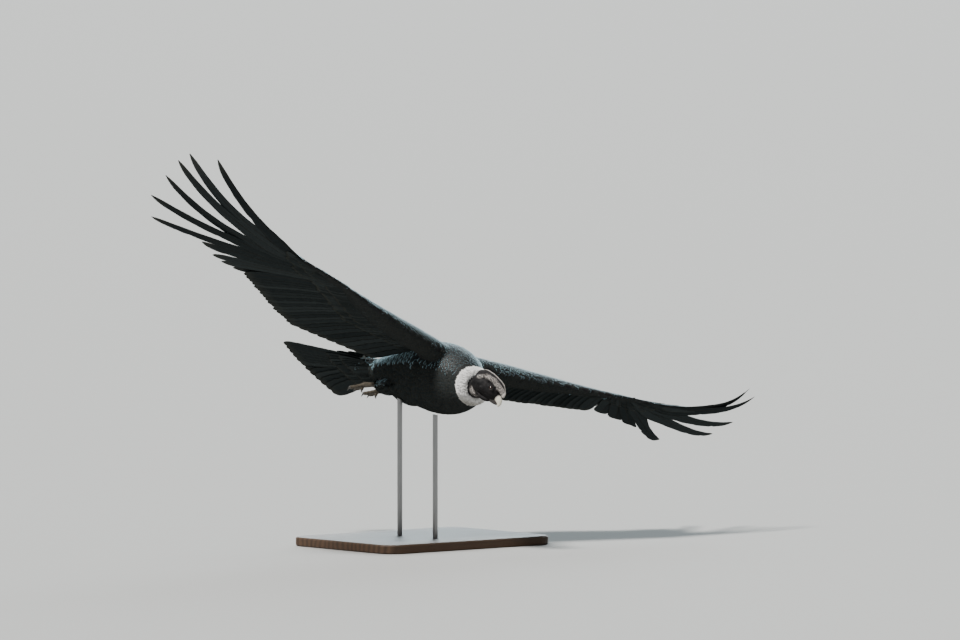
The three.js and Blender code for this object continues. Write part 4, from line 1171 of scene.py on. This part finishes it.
def scatter():
    # places spread over the skin, no nearer to each other than a share of the feathers' length
    faces = skinMesh.polygons
    areas = np.zeros(len(faces))
    faces.foreach_get("area", areas)
    centres = vectorsOf(faces, "center")
    layer = skinMesh.uv_layers["OFBake"].data
    picks = draw.choice(len(areas), coat["tries"], p=areas / areas.sum())
    box, grid, found = 0.03, {}, []  # boxes that hold what lies near
    around = [(dx, dy, dz) for dx in (-1, 0, 1) for dy in (-1, 0, 1) for dz in (-1, 0, 1)]
    for i in picks:
        p = centres[i] + draw.normal(0, 0.0012, 3)
        if not allowed(p):
            continue
        lie, onWing, w = lieOf(p)
        size = sizeOf(p, onWing, w)
        gap = size * coat["spacing"]
        bx, by, bz = np.floor(p / box).astype(int)
        if any((ox - p[0]) ** 2 + (oy - p[1]) ** 2 + (oz - p[2]) ** 2 < gap * gap
               for dx, dy, dz in around for ox, oy, oz in grid.get((bx + dx, by + dy, bz + dz), ())):
            continue
        grid.setdefault((bx, by, bz), []).append(tuple(p))
        uv = layer[faces[int(i)].loop_start].uv
        found.append({"at": p, "lie": lie, "size": size, "spot": (uv[0], uv[1]), "wing": onWing > 0.5,
                      "above": w["armNormal"]})
    return found


def between(y, shares, rows):  # the rows of a table, read at y
    return np.array([np.interp(y, shares, rows[:, k]) for k in range(3)]).T


def layCoat(place):
    # a small feather that follows the skin from its root on
    steps = coat["steps"]
    spine, normals = [], []
    at = Vector(place["at"])
    run = Vector(place["lie"] + draw.normal(0, coat["turned"], 3))
    length = place["size"] * (1 + uneven(0.12))
    stride = length / steps
    for _ in range(steps + 1):
        hit, normal, _, _ = skinTree.find_nearest(at)
        if spine and normal.dot(Vector(normals[-1])) < 0.2:  # it goes straight on over an edge
            hit, normal = Vector(spine[-1]) + run * stride, Vector(normals[-1])
        spine.append(tuple(hit))
        normals.append(tuple(normal))
        run = (run - normal * run.dot(normal)).normalized()
        at = hit + run * stride
    spine, normals = np.array(spine), np.array(normals)
    x, y, z = smallVane["points"].T
    shares = np.linspace(0, 1, steps + 1)
    up = unit(between(y, shares, normals))
    run = unit(between(y, shares[:-1] + 0.5 / steps, np.diff(spine, axis=0)))
    off = x * length * coat["wide"] / 2 * softRamp(outlines["covert"], y, 0.03)
    lift = length * coat["lift"] * y * (1.25 - 0.4 * y) - coat["sink"] * (1 - y)
    cup = coat["cup"] * off * off / (length * 0.3)
    thick = coat["thick"] * (1 - 0.6 * y)
    points = (between(y, shares, spine) + unit(np.cross(up, run)) * col(off)
              + up * col(lift - cup + z * thick))
    # painted light: half of a small feather's tone is raised by how far it faces up, the world's up on the
    # body and the wing's own up on the wings
    facing = np.mean(normals, axis=0) @ (place["above"] if place["wing"] else ground)
    tone = draw.random() * 0.5 + 0.5 * float(ease(0.1, 0.75, facing))
    tip = np.clip(ease(0.8, 1.0, y) + ease(0.7, 1.0, np.abs(x)) * 0.5, 0, 1)
    return {"points": points, "vane": np.array([off, y * length]).T, "spot": place["spot"],
            # the shaded copy for body feathers that face up little in the world, the lit copy for those
            # facing up; on the wings, the wing's own under side
            "low": facing + draw.normal(0, 0.03) < coat["wingLow" if place["wing"] else "low"],
            "numbers": {"tone": np.full(len(y), tone), "tip": tip * 0.75, "silver": np.zeros(len(y))}}


def makeCoat():
    places = scatter()
    print("small feathers", len(places))
    groups = {"bodyFeathers": [], "rightWingFeathers": [], "leftWingFeathers": []}
    for place in places:
        side = "left" if place["at"][1] > 0 else "right"
        groups[side + "WingFeathers" if place["wing"] else "bodyFeathers"].append(layCoat(place))
    most = coat["perPiece"]
    for name, laid in groups.items():
        for first in range(0, len(laid), most):
            number = str(first // most + 1) if len(laid) > most else ""
            addPiece(name + number, gather(name, smallVane, laid[first:first + most]), smallFinishes,
                     "plumage")


makeCoat()
print("coat made")

for name, w in wingFrames.items():
    addPiece(name + "FlightFeathers", gather("flight", longVane, flightFeathers(w), atlas=True),
             plumageFinishes, "plumage", *(f"{name}_{part}" for part in ("upper_arm", "forearm", "hand")))
    rows = wingCoverts(w) + alulaFeathers(w)
    addPiece(name + "Coverts", gather("coverts", rowVane, rows, atlas=True), plumageFinishes, "plumage")
print("wings made")


def tailFeathers():
    root, back, left, up = tailFrame()

    def fanned(side):
        def point(q, s, lift):
            q, s, lift = np.broadcast_arrays(np.asarray(q, float), s, lift)
            fan = np.radians(tail["spread"] * q / (tail["pairs"] - 0.5))
            return (root + col(s * np.cos(fan)) * back
                    + col(side * (q * tail["rootSpacing"] + s * np.sin(fan))) * left + col(lift) * up)
        return point

    long, short = [], []
    for i in range(tail["pairs"]):
        for side in (-1, 1):
            top = side < 0 and i == 0  # the one that lies over all the others
            level = (tail["step"] if top else 0) - tail["step"] * i
            long.append(layVane(fanned(side), featherOf(
                i + 0.5, mix(tail["middle"], tail["outer"], i / (tail["pairs"] - 1)), tail["width"],
                0.44, "broad", slope=0, levels=(level, level), limit=-1.6 if top else 0.03,
                cup=0.0012, stem=0.0028), longVane))
    for pairs, every, start, length, width, level, step in tail["rows"]:
        for i in range(pairs):
            for side in (-1, 1):
                top = side < 0 and i == 0
                height = level + (step if top else 0) - step * i + step * (pairs - 1)
                short.append(layVane(fanned(side), featherOf(
                    every * (i + 0.5), length * (1 + uneven(0.05)), width, 0.45, "covert", slope=0,
                    levels=(height, height), limit=-1.6 if top else 0.03, start=start, low=level < 0,
                    thick=0.0008, stem=0.0012, cup=0.002), rowVane))
    return long, short


long, short = tailFeathers()
addPiece("tailFeathers", gather("tail", longVane, long, atlas=True), plumageFinishes, "plumage", "tail")
addPiece("tailCoverts", gather("tailRows", rowVane, short, atlas=True), plumageFinishes, "plumage")
print("tail made")

addPiece("skin", skinMesh, (skinMaterial,), "bare_skin", "torso", "neck", "head", "comb", "wattle",
         "right_leg", "left_leg")


def ruffLocks():
    side = unit(np.array((0, 1.0, 0)) - ruffAxis * ruffAxis[1])
    above = np.cross(ruffAxis, side)
    x, y, z = lockVane["points"].T
    first, last = ruff["start"]
    laid = []
    for _ in range(ruff["locks"]):
        turn = draw.uniform(0, 2 * math.pi)
        start, length = draw.uniform(first, last), draw.uniform(*ruff["length"])
        sweep, puff = draw.normal(0, ruff["sweep"]), draw.uniform(*ruff["puff"])
        half = draw.uniform(*ruff["half"]) * softRamp([(0, 0.6), (0.35, 1), (0.7, 0.7), (1, 0.05)], y)
        curl, swing = start - y * length * ruff["curl"], turn + sweep * y * 0.4
        outs = col(np.cos(swing)) * side + col(np.sin(swing)) * above
        rounds = -col(np.sin(swing)) * side + col(np.cos(swing)) * above
        up = col(np.cos(curl)) * outs + col(np.sin(curl)) * ruffAxis
        away = (ruff["core"] - 0.003 + puff * np.sin(np.minimum(y * 1.8, 2.3))
                + 0.001 * np.sin(9 * y + turn * 40) + z * 0.0006 - 0.12 * (x * half) ** 2 / 0.004)
        tone, dust = draw.random(), draw.uniform(0, ruff["dusty"])
        # tip holds real dust towards each lock's tip and painted shade on the locks that point downwards
        laid.append({"points": (np.array(ruff["at"]) + outs * ruff["radius"] + up * col(away)
                                + rounds * col(x * half)),
                     "vane": np.array([x * half, y * length]).T,
                     "spot": (0.01 + turn / 6.5, 0.01 + 0.97 * (start - first) / (last - first)),
                     "numbers": {"tone": np.full(len(y), tone),
                                 "tip": y * dust + ruff["shaded"] * ease(-0.15, -0.95, up @ ground)}})
    return laid


addPiece("ruffDown", gather("ruff", lockVane, ruffLocks(), slots=False), (downMaterial,), "down", "ruff")
print("ruff made")

bill = {"upper": [(0.024, 0, -0.007), (0.038, 0, -0.007), (0.052, 0, -0.012), (0.061, 0, -0.02),
                  (0.064, 0, -0.031)],
        "upperRadii": [(0, 0.014), (0.35, 0.013), (0.6, 0.011), (0.82, 0.007), (1, 0.0014)],
        "lower": [(0.026, 0, -0.024), (0.04, 0, -0.024), (0.051, 0, -0.024), (0.057, 0, -0.023)],
        "lowerRadii": [(0, 0.011), (0.4, 0.0095), (0.8, 0.0065), (1, 0.0025)],
        "narrow": 0.84,  # narrower than deep
        "nostril": (0.037, -0.003), "nostrilSize": (0.0055, 0.0021), "nostrilDepth": 0.0035,
        "cere": (0.034, 0.012, 0.1),  # the swollen part at the base: place, length, swell
        # upper: its dark base is the bill's own colour; lower: dark nearly to the tip, painted shade over
        # its ivory
        "darkTo": {"upper": 0.045, "lower": 0.066}}


def closedMesh(bm, name):
    bmesh.ops.recalc_face_normals(bm, faces=bm.faces[:])
    return meshFrom(bm, name)


def nostrilAt(x, z):
    (atX, atZ), (long, tall) = bill["nostril"], bill["nostrilSize"]
    return np.exp(-((x - atX) / long) ** 2 - ((z - atZ) / tall) ** 2)


def makeBill():
    for name, steps in (("upper", 40), ("lower", 24)):
        upper = name == "upper"
        rings = limb([tuple(onHead(p)) for p in bill[name]], bill[name + "Radii"], steps, 40)
        x, y, z = inHead(np.concatenate(rings))
        y = y * bill["narrow"]
        y = y - np.sign(y) * nostrilAt(x, z) * upper * bill["nostrilDepth"] * (np.abs(y) > 0.003)
        place, length, swell = bill["cere"]
        y = y * (1 + swell * np.exp(-((x - place) / length) ** 2) * upper)
        bm = bmesh.new()
        addLoft(bm, onHead(np.array((x, y, z)).T).reshape(len(rings), -1, 3))
        mesh = closedMesh(bm, name + "Bill")
        x, y, z = inHead(np.array([v.co for v in mesh.vertices]))
        edge = bill["darkTo"][name]
        # dark base of the horn, with painted shade over the lower bill and in the nostril's dent
        dark = 1 - ease(edge - 0.005, edge + 0.004, x - z * 0.25) + nostrilAt(x, z) * upper
        keep(mesh, "dark", np.clip(dark, 0, 1))
        addPiece(name + "Bill", mesh, (billMaterial,), "bill", name + "_bill")


makeBill()


def makeEyes():
    x, y, z = head["eye"]
    for side, name in ((1, "left"), (-1, "right")):
        bm = bmesh.new()
        addBlob(bm, onHead((x, side * y, z)), (head["eyeRadius"],) * 3, headAxes, 32)
        mesh = meshFrom(bm, name + "Eye")
        ex, ey, ez = inHead(np.array([v.co for v in mesh.vertices]))
        away = np.hypot(ex - x, ez - z) / head["eyeRadius"] / head["irisShare"]
        keep(mesh, "iris", np.where((ey - side * y) * side > 0, away, 1))
        addPiece(name + "Eye", mesh, (eyeMaterial,), "eye", "eye_" + name)


makeEyes()
print("head made")

foot = {"ankle": (-0.17, 0.039, -0.072), "ball": (-0.25, 0.034, -0.074),
        "shank": [(0, 0.0095), (0.5, 0.0085), (1, 0.0105)],
        "toes": [(0.015, 0.064, 0.006), (0, 0.08, 0.0066), (-0.014, 0.06, 0.006)],  # out, length, thick
        "joints": [(0, 1.15), (0.25, 0.9), (0.38, 1.12), (0.55, 0.88), (0.7, 1.05), (0.85, 0.8),
                   (1, 0.82)],
        "claw": [(-0.003, 0, 0.001), (-0.009, 0, -0.002), (-0.0145, 0, -0.0115)],  # from a toe's tip
        "clawRadii": [(0, 0.0041), (0.5, 0.0031), (1, 0.0006)],
        "hindToe": [(-0.006, 0, 0), (-0.008, 0, -0.018)], "hindRadii": [(0, 0.007), (1, 0.0052)],
        "hindClaw": [(-0.008, 0, -0.016), (-0.0075, 0, -0.022), (-0.002, 0, -0.03)],
        "hindClawRadii": [(0, 0.005), (0.5, 0.0036), (1, 0.0007)]}


def makeFoot(side, name):
    ankle, ball = (np.array(foot[key]) * (1, side, 1) for key in ("ankle", "ball"))
    bm, claws = bmesh.new(), bmesh.new()
    addLoft(bm, limb([ankle, mix(ankle, ball, 0.5), ball], foot["shank"], 10, 16))
    for out, length, thick in foot["toes"]:
        base = ball + (0, out * 0.35, 0)
        tip = ball + (-length * 0.9, out, -0.014)
        middle = mix(base, tip, 0.55) - (0, 0, 0.002)
        addLoft(bm, limb([base, middle, tip], [(t, thick * r) for t, r in foot["joints"]], 16, 14))
        addLoft(claws, limb(tip + np.array(foot["claw"]), foot["clawRadii"], 10, 12))
    addLoft(bm, limb(ball + np.array(foot["hindToe"]), foot["hindRadii"], 6, 12))
    addLoft(claws, limb(ball + np.array(foot["hindClaw"]), foot["hindClawRadii"], 8, 12))
    addPiece(name + "Foot", remeshed(bm, voxel=0.0014, smooth=2, name=name + "Foot"), (scalyMaterial,),
             "scaly_skin", name + "_foot")
    mesh = closedMesh(claws, name + "Claws")
    keep(mesh, "dark", np.zeros(len(mesh.vertices)))
    addPiece(name + "Claws", mesh, (clawMaterial,), "scaly_skin")


makeFoot(1, "left")
makeFoot(-1, "right")
print("feet made")

for node, material in (("stand_base", boardMaterial), ("stand_rod_front", metalMaterial),
                       ("stand_rod_back", metalMaterial)):
    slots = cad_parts[node].data.materials
    slots.clear()
    slots.append(material)

# Floor and light

studio = {"floor": (0.4, 0.398, 0.388), "dust": 1.015, "reach": 30000, "world": (0.86, 0.93, 1.0),
          "worldStrength": 0.2,
          "lamps": [  # towards the lamp: across, up and towards the camera; softness, strength, colour
              ((-0.42, 1.0, 0.42), 12, 6.2, (1.0, 0.975, 0.94)),
              ((0.15, 0.42, -1.0), 40, 3.2, (0.82, 0.95, 1.0))]}


def makeStudio():
    bm = bmesh.new()
    bmesh.ops.create_grid(bm, x_segments=1, y_segments=1, size=studio["reach"])
    floor = linked("floor", meshFrom(bm, "floor"))
    f = Finish("floor")
    paler = tuple(studio["dust"] * c for c in studio["floor"])
    floor.data.materials.append(f.close(
        baseColor=f.blend(f.cloud(3.0, 3.0, 0.5), studio["floor"], paler), roughness=0.9, specular=0.1))
    world = bpy.data.worlds.new("world")
    bpy.context.scene.world = world
    world.use_nodes = True
    sky = world.node_tree.nodes["Background"]
    sky.inputs[0].default_value = (*studio["world"], 1)
    sky.inputs[1].default_value = studio["worldStrength"]
    turn = camera.rotation_euler.to_matrix()
    for i, (towards, soft, strength, colour) in enumerate(studio["lamps"]):
        data = bpy.data.lights.new(f"lamp{i}", "SUN")
        data.angle, data.energy, data.color = math.radians(soft), strength, colour
        lamp = linked(f"lamp{i}", data)
        lamp.rotation_euler = (turn @ Vector(towards)).to_track_quat("Z", "Y").to_euler()
        lamp.location = (0, 0, 4)


makeStudio()
print("studio made")

bpy.context.view_layer.update()
